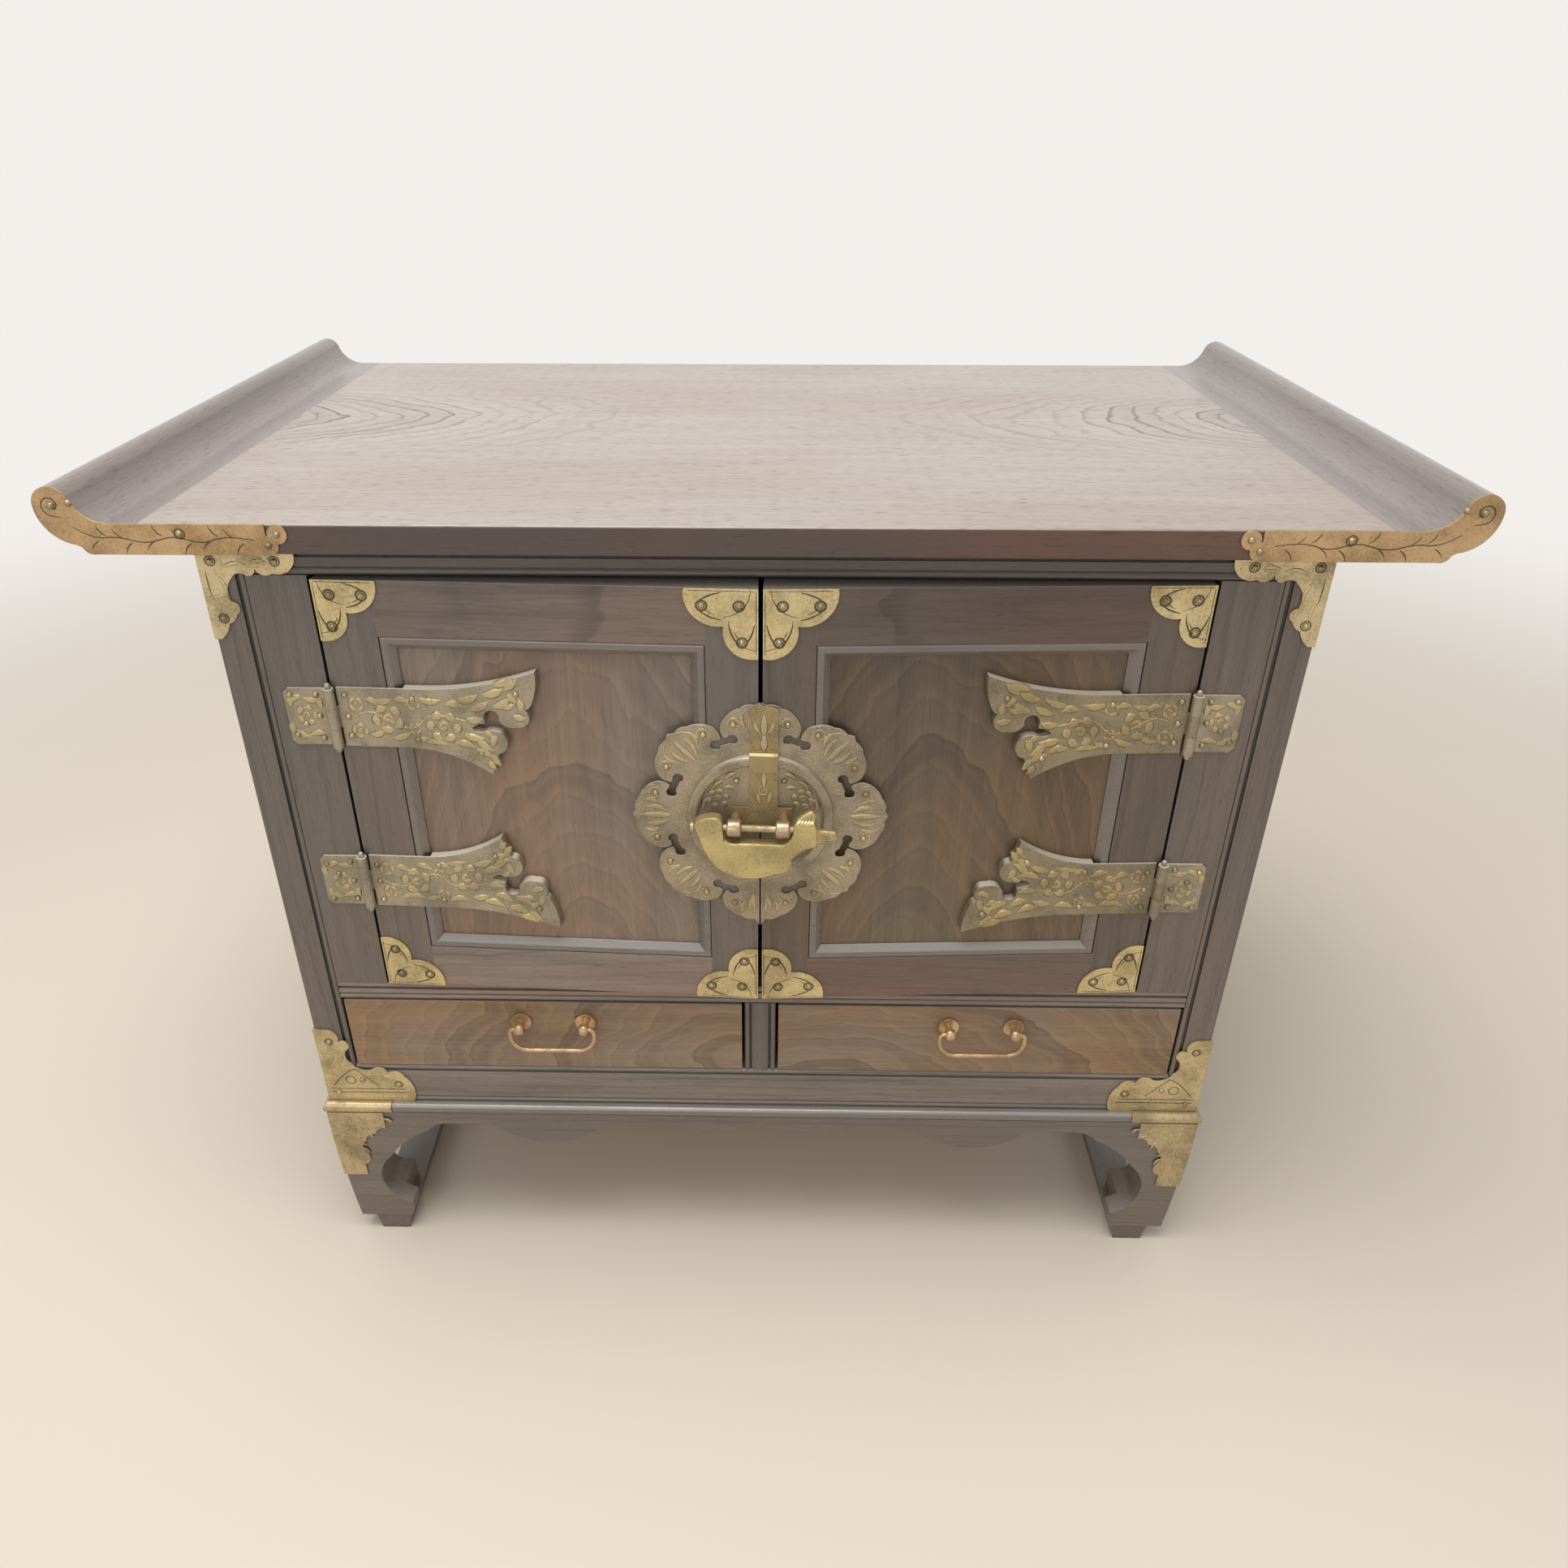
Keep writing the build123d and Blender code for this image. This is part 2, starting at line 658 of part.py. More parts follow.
def fixed_leaf(height, up):
    """Leaf on the jamb, with the upper and lower knuckles."""
    clear = knuckle_radius + plate_edge_gap
    with BuildPart() as leaf:
        with BuildSketch(FRONT):
            with Locations((hinge_x + (clear + leaf_reach) / 2, height)):
                Rectangle(leaf_reach - clear, 2 * leaf_half_height)
        extrude(amount=hinge_brass)
        chamfer(leaf.edges().filter_by(Axis.Y).group_by(Axis.X)[-1], leaf_clip)
        for sign in (1, -1):
            near, far = height + sign * (middle_knuckle_half + knuckle_gap), height + sign * knuckle_half_length
            tab_end = height + sign * leaf_half_height
            add(board((hinge_x + 1, hinge_x + clear), (front_y - hinge_brass, front_y), sorted((near, tab_end))))
            add(knuckle(*sorted((near, far))))
        add(bore(height), mode=Mode.SUBTRACT)
    return leaf.part


def strap_outline(height, up):
    """Long flared strap, measured inward from the pin and up or down from the hinge's middle."""
    clear = knuckle_radius + plate_edge_gap
    shape((clear, 20.5), (60.0, 20.5), ((97.0, 24.6), (130.0, 34.2)), ((129.3, 22.5), (126.4, 13.0)),
          ((124.4, 9.8), (121.8, 8.2)), ((122.8, -0.8), (115.5, -4.0)), ((109.5, -3.8), (104.4, 0.6)),
          ((99.8, 7.4), (95.2, 2.0)), (95.4, -1.8), ((91.0, -2.7), (87.0, -5.2)), ((91.0, -8.0), (96.0, -7.0)),
          (100.5, -7.0), ((108.4, -14.0), (104.0, -22.6)), ((101.4, -24.2), (101.6, -26.6)), (98.8, -30.5),
          (96.6, -38.2),
          ((71.0, -25.0), (41.0, -20.5)), (clear, -20.5), at=(hinge_x, height), side=-1, up=up)


def strap_rim(height, up):
    """The strap's edge turned back to the sunken panel, as a band inside its outline."""
    with BuildPart() as rim:
        with BuildSketch(FRONT) as edge:
            strap_outline(height, up)
            offset(amount=-hinge_brass, kind=Kind.ARC, mode=Mode.SUBTRACT)
        extrude(amount=-door_panel_recess)
        add(board((hinge_x - strap_backing_start, hinge_x + 50), (front_y - 50, front_y + 50), (0, case_top_z)),
            mode=Mode.SUBTRACT)
    return rim.part


def strap(height, up):
    clear = knuckle_radius + plate_edge_gap
    with BuildPart() as leaf:
        with BuildSketch(FRONT):
            strap_outline(height, up)
        extrude(amount=hinge_brass)
        add(strap_rim(height, up))
        ends = (height - middle_knuckle_half, height + middle_knuckle_half)
        add(board((hinge_x - clear, hinge_x - 1), (front_y - hinge_brass, front_y), ends))
        add(knuckle(*ends))
        add(bore(height), mode=Mode.SUBTRACT)
    return leaf.part


def hinge_pin(height):
    """A pin with a ball at each end."""
    with BuildPart() as pin:
        with Locations((hinge_x, hinge_y, height)):
            Cylinder(pin_radius, 2 * (knuckle_half_length + knuckle_gap))
        ball = knuckle_half_length + knuckle_gap + pin_ball_radius * 0.75
        with Locations((hinge_x, hinge_y, height + ball), (hinge_x, hinge_y, height - ball)):
            Sphere(pin_ball_radius)
        lid = knuckle_half_length + knuckle_gap
        for sign in (1, -1):
            with Locations((hinge_x, hinge_y, height + sign * (lid - knuckle_half_length / 4))):
                Cylinder(knuckle_radius, knuckle_half_length / 2, mode=Mode.SUBTRACT)
        with Locations((hinge_x, hinge_y, height)):
            Cylinder(pin_radius, 2 * lid + pin_ball_radius / 2)
    return pin.part


def make_hinges():
    places = ((hinge_upper_height, 1), (hinge_lower_height, -1))
    save(pair(group(*[fixed_leaf(height, up) for height, up in places])), "hinge_leaves")
    save(pair(group(*[hinge_pin(height) for height, up in places])), "hinge_pins")
    save_hung(group(*[strap(height, up) for height, up in places]), "hinge_straps")


# ---------------------------------------------------------------- doors
def corner_plate(x, z, side, up, size):
    """A two-winged plate on a door's corner."""
    notch = 0.47 * size
    with BuildPart() as plate:
        with BuildSketch(FRONT):
            shape((0, 0), (size, 0), ((0.86 * size, 0.41 * size), (notch, 0.53 * size)),
                  ((0.40 * size, 0.85 * size), (0, size)), at=(x, z), side=side, up=up)
        extrude(amount=brass_thickness)
    return plate.part


def corner_nails(x, z, side, up, size):
    return [(x + side * a * size, z + up * b * size) for a, b in ((0.26, 0.24), (0.76, 0.24), (0.22, 0.76))]


def door_corners():
    """Place, directions and size of the four plates of the right-hand door."""
    return [(door_inner, door_high, 1, -1, 44.0), (door_outer, door_high, -1, -1, 39.0),
            (door_inner, door_low, 1, 1, 43.0), (door_outer, door_low, -1, 1, 41.0)]


def strap_nails(height, up):
    places = ((9.0, 15.5), (9.0, 0.5), (9.0, -13.0), (51.5, 14.0), (51.5, -14.5), (117.0, 19.0), (91.0, -23.0))
    return [(hinge_x - s, height + up * t) for s, t in places]


def make_doors():
    y = (front_y, front_y + door_thickness)
    z = (door_low, door_high)
    opening_x = (door_inner + meeting_stile_width, door_outer - hinge_stile_width)
    opening_z = (door_low + door_bottom_rail_width, door_high - door_top_rail_width)
    with BuildPart() as meeting_stile:
        with BuildSketch(Plane.XY.offset(z[0])):
            with BuildLine():
                Polyline((door_inner, y[0]), (opening_x[0], y[0]), (opening_x[0], y[1]),
                         (door_inner + meeting_bevel, y[1]), close=True)
            make_face()
        extrude(amount=z[1] - z[0])
    stiles = group(board((opening_x[1], door_outer), y, z), meeting_stile.part)
    save_hung(stiles, "door_stiles")
    rails = group(board(opening_x, y, (opening_z[1], door_high)), board(opening_x, y, (door_low, opening_z[0])))
    save_hung(rails, "door_rails")
    panel_front = front_y + door_panel_recess
    save_hung(board(opening_x, (panel_front, panel_front + door_panel_thickness), opening_z), "door_panel")
    with BuildPart() as moulding:
        add(board(opening_x, (front_y, panel_front), opening_z))
        add(board((opening_x[0] + moulding_width, opening_x[1] - moulding_width), (front_y - 1, panel_front),
                  (opening_z[0] + moulding_width, opening_z[1] - moulding_width)), mode=Mode.SUBTRACT)
        face = moulding.faces().sort_by(Axis.Y)[0]
        fillet(face.outer_wire().edges(), moulding_round)
        face = moulding.faces().filter_by(Axis.Y).sort_by(Axis.Y)[0]
        inner = face.inner_wires()[0].edges()
        chamfer(inner, moulding_slope * door_panel_recess / (door_panel_recess + 2))
    save_hung(moulding.part, "door_moulding")
    save_hung(group(*[corner_plate(*corner) for corner in door_corners()]), "door_corner_brass")
    heads = [nail_heads([p for corner in door_corners() for p in corner_nails(*corner)], FRONT, brass_thickness)]
    for height, up in ((hinge_upper_height, 1), (hinge_lower_height, -1)):
        heads.append(nail_heads(strap_nails(height, up), FRONT, hinge_brass))
    lobes = [turn + lean for turn in (-90, -45, 0, 45, 90) for lean in (-lobe_nail_angle, lobe_nail_angle)]
    places = [(lobe_nail_reach * cos(radians(a)), lock_height + lobe_nail_reach * sin(radians(a)))
              for a in lobes if abs(a) < 90] + [(15.0, lock_height + 27.5)]
    heads.append(nail_heads(places, FRONT, brass_thickness))
    save_hung(group(*heads), "door_nails")


# ---------------------------------------------------------------- lock
def polar(reach, angle):
    return (reach * cos(radians(angle)), reach * sin(radians(angle)))


def lobed_outline():
    """Eight mushroom lobes; two round bites and a narrow mouth part each from the next."""
    steps = []
    for index in range(lobe_count):
        turn = index * 360 / lobe_count
        tip = lower_tip_reach if turn == 270 else lobe_reach
        low = [((56.2, 15.4), (59.3, 13.8)), ((62.0, 15.4), (61.6, 19.2)), (61.9, 21.4),
               ((66.0, 21.9), (71.0, 20.3)), ((76.2, 15.8), (79.0, 9.5)), ((80.9, 5.5), (80.4, 2.6))]
        before = [(57.0, -19.2)]
        for step in low:
            before.append(tuple((r, -a) for r, a in step) if isinstance(step[0], tuple) else (step[0], -step[1]))
        after = [(80.4, 2.6), ((80.9, 5.5), (79.0, 9.5)), ((76.2, 15.8), (71.0, 20.3)), ((66.0, 21.9), (61.9, 21.4)),
                 (61.6, 19.2), ((62.0, 15.4), (59.3, 13.8)), ((56.2, 15.4), (57.0, 19.2))]
        for step in before + [(tip, 0.0)] + after:
            if isinstance(step[0], tuple):
                steps.append(tuple(polar(r, a + turn) for r, a in step))
            else:
                steps.append(polar(step[0], step[1] + turn))
    return steps


def lock_half(side):
    """A door's half of the plate and of the ring."""
    far = 2 * lobe_reach
    keep = board(sorted((side * plate_seam, side * far)), (front_y - far, front_y + far), (0, case_top_z))
    with BuildPart() as plate:
        with BuildSketch(FRONT):
            shape(*lobed_outline(), at=(0, lock_height))
        extrude(amount=brass_thickness)
    with BuildPart() as ring:
        with BuildSketch(FRONT.offset(brass_thickness)):
            with Locations((0, lock_height)):
                Circle(ring_outer_radius)
                Circle(ring_inner_radius, mode=Mode.SUBTRACT)
        extrude(amount=ring_rise)
        fillet(ring.faces().sort_by(Axis.Y)[0].edges(), ring_round)
    return group(plate.part & keep, ring.part & keep)


def lap_strip():
    """Strip on the left half that laps over the right door, with a seat for the staples at its foot."""
    plate = front_y - brass_thickness
    near = plate - lap_gap
    over = near - ring_rise
    top = lock_height + lap_top
    low = bar_height - staple_seat_half_height
    t = lap_thickness
    ramp = 2.0
    inner = lock_height + (ring_inner_radius ** 2 - lap_edge ** 2) ** 0.5 - lap_gap
    outer = lock_height + ring_outer_radius + lap_gap
    with BuildPart() as strip:
        with BuildSketch(side_view(lap_left_edge)):
            shape((near, low), (near, inner - t), (over + ramp, inner - t), (over, inner), (over, outer),
                  (over + ramp, outer + t), (near, outer + t), (near, top), (near - t, top),
                  (near - t, outer + 2 * t), (over + ramp - t, outer + 2 * t), (over - t, outer + t),
                  (over - t, inner - t), (over + ramp - t, inner - 2 * t), (near - t, inner - 2 * t), (near - t, low))
        extrude(amount=lap_edge - lap_left_edge)
        add(board((-staple_seat_half_width, staple_seat_half_width), (near - t, near),
                  (low, low + 2 * staple_seat_half_height)))
        held = (lap_left_edge, -door_inner - lap_gap)
        add(board(held, (near, plate), (low, inner - t)))
        add(board(held, (near, plate), (outer + t, top)))
        add(board((-staple_seat_half_width, held[1]), (near, plate), (low, low + 2 * staple_seat_half_height)))
        fillet(strip.edges().filter_by(Axis.Y).group_by(Axis.Z)[0], staple_seat_half_height / 2)
        with BuildSketch(facing(over - 2 * t)):
            shape(*lobed_outline(), at=(0, lock_height))
        extrude(amount=-(front_y - over + 3 * t), mode=Mode.INTERSECT)
    return strip.part


def staple(x):
    """A barrel staple: an eye for the bar on a stem that stands on the strip's seat."""
    seat = front_y - brass_thickness - lap_gap - lap_thickness
    with BuildPart() as eye:
        with BuildSketch(facing(seat)):
            with Locations((x, bar_height)):
                Circle(staple_stem_radius)
        extrude(amount=seat - (front_y - bar_reach))
        with BuildSketch(side_view(x - staple_length / 2)):
            with Locations((front_y - bar_reach, bar_height)):
                Circle(staple_radius)
        extrude(amount=staple_length)
        fillet(eye.edges().filter_by(GeomType.CIRCLE).group_by(Axis.X)[0], staple_radius / 4)
        fillet(eye.edges().filter_by(GeomType.CIRCLE).group_by(Axis.X)[-1], staple_radius / 4)
        with BuildSketch(side_view(x - staple_length)):
            with Locations((front_y - bar_reach, bar_height)):
                Circle(bar_radius + bar_fit)
        extrude(amount=2 * staple_length, mode=Mode.SUBTRACT)
    return eye.part


def fish_body():
    """A fish: its head and its fin hold the bar, and the body hangs below."""
    middle = front_y - bar_reach
    with BuildPart() as fish:
        with BuildSketch(facing(middle - padlock_thickness / 2)):
            shape((-40.5, 1.5), (-39.8, 5.4), ((-32.0, 8.6), (-24.6, 8.6)), (-22.6, 5.6), (-21.8, -3.5),
                  ((-19.9, -8.0), (-13.6, -9.4)), (11.5, -9.6), ((18.2, -7.6), (21.6, -2.0)), (22.2, 5.0),
                  ((25.8, 10.0), (31.8, 14.4)), ((35.2, 13.4), (36.0, 9.5)), ((36.4, 3.6), (39.0, 0.8)),
                  (48.4, 0.2), ((49.8, -3.2), (47.0, -7.6)), ((41.0, -8.4), (35.0, -11.0)), ((26.5, -15.2), (21.6, -21.5)),
                  ((20.4, -27.8), (11.0, -31.8)), ((-6.0, -36.4), (-23.0, -31.6)), ((-31.8, -21.5), (-37.4, -7.5)),
                  at=(0, bar_height))
        extrude(amount=-padlock_thickness)
        waste = (padlock_thickness - fin_thickness) / 2
        for sign in (1, -1):
            y = sorted((middle + sign * fin_thickness / 2, middle + sign * (fin_thickness / 2 + waste + 1)))
            add(board((0, 60), y, (bar_height + 7.5, bar_height + 30)), mode=Mode.SUBTRACT)
            add(board((padlock_tail_start, 60), y, (bar_height - 20, bar_height + 30)), mode=Mode.SUBTRACT)
        with BuildSketch(side_view(-60)):
            with Locations((middle, bar_height)):
                Circle(bar_radius + bar_fit)
        extrude(amount=60 + bar_end + 1, mode=Mode.SUBTRACT)
    return fish.part


def bolt():
    """The sliding bar, with a knob outside the fish's mouth."""
    middle = front_y - bar_reach
    with BuildPart() as bar:
        with BuildSketch(side_view(bar_start)):
            with Locations((middle, bar_height)):
                Circle(bar_radius)
        extrude(amount=bar_end - bar_start)
        with BuildSketch(side_view(bar_start)):
            with Locations((middle, bar_height)):
                Circle(bar_knob_radius)
        extrude(amount=bar_knob_length)
    return bar.part


def make_lock():
    """The strip, the staples and the padlock hang with the left-hand door."""
    save(hung(lock_half(1), 1), "right_lock_plate")
    save(hung(lock_half(-1), -1), "left_lock_plate")
    save(hung(lap_strip(), -1), "lock_lap_strip")
    save(hung(group(staple(-staple_offset), staple(staple_offset)), -1), "lock_staples")
    save(hung(fish_body(), -1), "padlock_body")
    save(hung(bolt(), -1), "padlock_bolt")


# ---------------------------------------------------------------- drawers
def make_drawer_box():
    x = (divider_width / 2 + drawer_side_gap, post_inner - drawer_side_gap)
    front_back = front_y + drawer_front_thickness
    front = board(x, (front_y, front_back), (drawer_floor_z + drawer_gap, drawer_top_z - drawer_gap))
    save_both(front, "drawer_front")
    t = drawer_side_thickness
    low = drawer_floor_z + drawer_run
    y = (front_back, back_post_front - drawer_back_gap)
    outer_x = (x[0] + drawer_side_inset, x[1] - drawer_side_inset)
    inner_x = (outer_x[0] + t, outer_x[1] - t)
    z = (low, low + drawer_side_height)
    bottom = low + drawer_bottom_lift
    box = group(board((outer_x[0], inner_x[0]), y, z), board((inner_x[1], outer_x[1]), y, z),
                board(inner_x, (y[1] - t, y[1]), z),
                board(inner_x, (y[0], y[1] - t), (bottom, bottom + drawer_bottom_thickness)))
    save_both(box, "drawer_box")


def pull_post(x):
    """A rosette, a stem and a flattened ball with the bail's bore."""
    with BuildPart() as post:
        with BuildSketch(FRONT):
            with Locations((x, pull_height)):
                Circle(pull_rosette_radius)
        extrude(amount=pull_rosette_thickness)
        with BuildSketch(FRONT):
            with Locations((x, pull_height)):
                Circle(pull_stem_radius)
        extrude(amount=pull_reach)
        with BuildPart(mode=Mode.PRIVATE) as ball:
            with Locations((x, front_y - pull_reach, pull_height)):
                Sphere(pull_ball_radius)
                Box(pull_ball_width, 40, 40, mode=Mode.INTERSECT)
        add(ball.part)
        with BuildSketch(side_view(x - pull_ball_radius)):
            with Locations((front_y - pull_reach, pull_height)):
                Circle(bail_radius + pull_fit)
        extrude(amount=2 * pull_ball_radius, mode=Mode.SUBTRACT)
    return post.part


def bail(x):
    """A bent rod whose ends turn in the posts' bores from outside."""
    pin = pull_spacing / 2 - bail_pin_inset
    leg = pull_spacing / 2 + pull_ball_width / 2 + bail_shoulder_gap + bail_shoulder_bend
    plane = facing(front_y - pull_reach)
    corners = [(x - pin, pull_height), (x - leg, pull_height), (x - leg, pull_height - bail_drop),
               (x + leg, pull_height - bail_drop), (x + leg, pull_height), (x + pin, pull_height)]
    bends = [bail_shoulder_bend, bail_corner_bend, bail_corner_bend, bail_shoulder_bend]
    with BuildPart() as rod:
        with BuildLine(plane):
            FilletPolyline(*corners, radius=bends)
        with BuildSketch(side_view(x - pin)):
            with Locations((front_y - pull_reach, pull_height)):
                Circle(bail_radius)
        sweep()
    return rod.part


def make_pulls():
    for name, x in (("left", left_pull_x), ("right", right_pull_x)):
        posts = [pull_post(x - pull_spacing / 2), pull_post(x + pull_spacing / 2)]
        save(group(*posts), f"{name}_pull_posts")
        save(group(bail(x)), f"{name}_pull_bail")


make_stand()
make_case_frame()
make_case_inside()
make_top()
make_case_brass()
make_hinges()
make_doors()
make_lock()
make_drawer_box()
make_pulls()
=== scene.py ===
# %% [markdown]
# # A Korean chest on a low stand
# The real chest is a box of dark elm boards with two framed doors, two small drawers and a board
# top whose ends roll up, all held and trimmed with thin brass.  The measured frame already has each
# board and each piece of brass in its true place, so this lesson dresses it: it sets the camera,
# builds finishes from nodes, and models the soft edges and raised scrollwork of the brass.

import json
from math import cos, degrees, pi, radians, sin, tau

import bmesh
import bpy
from mathutils import Matrix, Vector


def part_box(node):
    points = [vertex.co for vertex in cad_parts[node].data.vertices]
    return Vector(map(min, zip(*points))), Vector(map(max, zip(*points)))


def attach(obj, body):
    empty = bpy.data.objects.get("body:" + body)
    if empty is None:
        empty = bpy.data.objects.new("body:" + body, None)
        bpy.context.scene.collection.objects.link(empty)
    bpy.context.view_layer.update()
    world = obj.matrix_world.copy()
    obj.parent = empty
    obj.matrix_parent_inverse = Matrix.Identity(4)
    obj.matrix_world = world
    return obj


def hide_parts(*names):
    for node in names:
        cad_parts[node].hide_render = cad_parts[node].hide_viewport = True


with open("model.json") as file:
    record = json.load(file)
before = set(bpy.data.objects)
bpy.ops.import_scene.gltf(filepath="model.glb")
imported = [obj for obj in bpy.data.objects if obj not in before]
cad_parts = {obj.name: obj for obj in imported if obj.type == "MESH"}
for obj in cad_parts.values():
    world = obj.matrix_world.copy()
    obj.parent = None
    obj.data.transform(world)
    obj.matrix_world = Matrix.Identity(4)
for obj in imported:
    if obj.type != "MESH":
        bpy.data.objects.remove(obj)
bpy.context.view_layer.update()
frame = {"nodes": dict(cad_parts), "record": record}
nodes = frame["nodes"]
joints = {joint["name"]: joint for joint in frame["record"]["behaviour"]["joints"]}
mm = 0.001
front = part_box("bottom_rail")[0][1]
hinge_x, hinge_y = joints["right_door_hinge"]["pos_m"][:2]
ajar = -radians(joints["right_door_hinge"]["range_deg"][0])
print(len(nodes), "nodes; the front of the case lies at y =", round(front, 4))
print("the doors rest", round(degrees(ajar), 1), "degrees ajar")

# %% [markdown]
# ## The camera
# The camera stands about two thirds of a metre in front of the case and looks down on it by thirty
# degrees, with a wide lens.  A direction and a roll are easier to read than three Euler angles, so
# the matrix is put together from the way forward, the way right and the way up.

# %% Stand the camera
camera_place = Vector((9.43 * mm, front - 657.97 * mm, 806.85 * mm))
camera_yaw, camera_pitch = radians(-1.0722), radians(30.1438)
image_size = 1932
focal_pixels = 1453.44
centre_shift_pixels = 34.3
sensor_width = 36.0

level_share = cos(camera_pitch)
forward = Vector((sin(camera_yaw) * level_share, cos(camera_yaw) * level_share, -sin(camera_pitch)))
right = Vector((cos(camera_yaw), -sin(camera_yaw), 0.0))
upward = right.cross(forward)
facing = Matrix((right, upward, -forward)).transposed().to_4x4()
lens = bpy.data.cameras.new("camera")
lens.sensor_width = sensor_width
lens.lens = focal_pixels * sensor_width / image_size
lens.shift_x = centre_shift_pixels / image_size
camera = bpy.data.objects.new("camera", lens)
camera.matrix_world = Matrix.Translation(camera_place) @ facing
bpy.context.scene.collection.objects.link(camera)
bpy.context.scene.camera = camera
print("lens", round(lens.lens, 2), "mm")

# %% [markdown]
# ## Sums made of sockets
# A shader is easiest to follow when its maths looks like maths.  One small class wraps a socket and
# gives it +, -, * and /, and one method adds any other node.  The finishes below are then ordinary
# expressions, and Blender still ends up with a plain node tree.


# %% Wrap a socket
class Value:
    """A shader socket that can stand in a sum."""

    def __init__(self, owner, socket):
        self.owner, self.socket = owner, socket

    def maths(self, operation, first, second=0.0):
        return self.owner.node("ShaderNodeMath", {"operation": operation}, {0: first, 1: second})

    def __add__(self, other):
        return self.maths("ADD", self, other)

    def __sub__(self, other):
        return self.maths("SUBTRACT", self, other)

    def __mul__(self, other):
        return self.maths("MULTIPLY", self, other)

    def __truediv__(self, other):
        return self.maths("DIVIDE", self, other)

    def __rsub__(self, other):
        return self.maths("SUBTRACT", other, self)

    __radd__ = __add__
    __rmul__ = __mul__

    def root(self):
        return self.maths("SQRT", self)

    def part(self):
        """What is left after the whole number."""
        return self.maths("FRACT", self)

    def wave(self):
        """The sine, made large, whose fraction jumps about as if at random."""
        return self.maths("SINE", self) * 43758.5

    def size(self):
        return self.maths("ABSOLUTE", self)

    def most(self, other):
        return self.maths("MAXIMUM", self, other)

    def least(self, other):
        return self.maths("MINIMUM", self, other)

    def step(self, low, high):
        """0 below low, 1 above high, and a soft step between them."""
        return self.owner.node("ShaderNodeMapRange", {"interpolation_type": "SMOOTHSTEP"},
                               {"Value": self, "From Min": low, "From Max": high})


print("a socket can stand in a sum")


# %% Colours by their web codes
def paint(code):
    """A colour written as on the web, as linear numbers."""
    channels = [int(code[i:i + 2], 16) / 255 for i in (1, 3, 5)]
    return tuple(c / 12.92 if c <= 0.04045 else ((c + 0.055) / 1.055) ** 2.4 for c in channels) + (1.0,)


def shaded(colour, share):
    """A colour with only a share of its light."""
    return tuple(channel * share for channel in colour[:3]) + (1.0,)


print("mid grey is", round(paint("#808080")[0], 3), "in linear light")


# %% Wrap a node tree
class NodeTree:
    """A node tree that is being built."""

    def __init__(self, tree):
        self.tree = tree

    def node(self, kind, settings=None, inputs=None, output=0):
        """Any node: its settings first, then the values or links of its sockets."""
        made = self.tree.nodes.new(kind)
        for name, value in (settings or {}).items():
            setattr(made, name, value)
        for name, value in (inputs or {}).items():
            self.feed(made.inputs[name], value)
        return Value(self, made.outputs[output])

    def feed(self, socket, value):
        if isinstance(value, Value):
            self.tree.links.new(value.socket, socket)
        else:
            socket.default_value = value


print("any node can be added in one line")


# %% Words for a finish
class Finish(NodeTree):
    """A material that is being built."""

    def __init__(self, name):
        self.material = bpy.data.materials.new(name)
        self.material.use_nodes = True
        super().__init__(self.material.node_tree)
        self.surface = self.tree.nodes["Principled BSDF"]
        self.place = self.node("ShaderNodeTexCoord", output="Object")

    def axes(self):
        """The place's three numbers."""
        split = self.node("ShaderNodeSeparateXYZ", None, {"Vector": self.place}).socket.node
        return [Value(self, split.outputs[i]) for i in range(3)]

    def vector(self, x, y, z):
        return self.node("ShaderNodeCombineXYZ", None, {0: x, 1: y, 2: z})

    def noise(self, where, scale, detail=2.0, rough=0.5):
        return self.node("ShaderNodeTexNoise", None,
                         {"Vector": where, "Scale": scale, "Detail": detail, "Roughness": rough})

    def mix(self, amount, first, second):
        return self.node("ShaderNodeMix", {"data_type": "RGBA"}, {0: amount, 6: first, 7: second}, output=2)

    def soft_edges(self, radius):
        """The surface's normal, rounded near its edges."""
        return self.node("ShaderNodeBevel", {"samples": 6}, {"Radius": radius})

    def true_normal(self):
        """The face's own normal, before any rounding."""
        return self.node("ShaderNodeNewGeometry", output="True Normal")

    def agreement(self, normal):
        """1 where a normal is the face's own, and less where it turns away from it."""
        return self.node("ShaderNodeVectorMath", {"operation": "DOT_PRODUCT"},
                         {0: normal, 1: self.true_normal()}, output="Value")

    def rise(self, normal):
        """How far a normal points up: 1 on a level face and 0 on an upright one."""
        return self.node("ShaderNodeSeparateXYZ", None, {"Vector": normal}, output="Z")

    def open_air(self, distance):
        """1 on open faces, and less where another piece stands within a distance."""
        return self.node("ShaderNodeAmbientOcclusion", {"samples": 4}, {"Distance": distance}, output="AO")

    def bump(self, height, distance, strength, normal):
        return self.node("ShaderNodeBump", None,
                         {"Height": height, "Distance": distance, "Strength": strength, "Normal": normal})

    def finish(self, color, roughness, normal, metallic=0.0, coat=0.0, coat_roughness=0.25):
        self.feed(self.surface.inputs["Base Color"], color)
        self.feed(self.surface.inputs["Roughness"], roughness)
        self.feed(self.surface.inputs["Normal"], normal)
        self.surface.inputs["Metallic"].default_value = metallic
        self.surface.inputs["Coat Weight"].default_value = coat
        self.surface.inputs["Coat Roughness"].default_value = coat_roughness
        return self.material


print("a finish can be built from nodes")

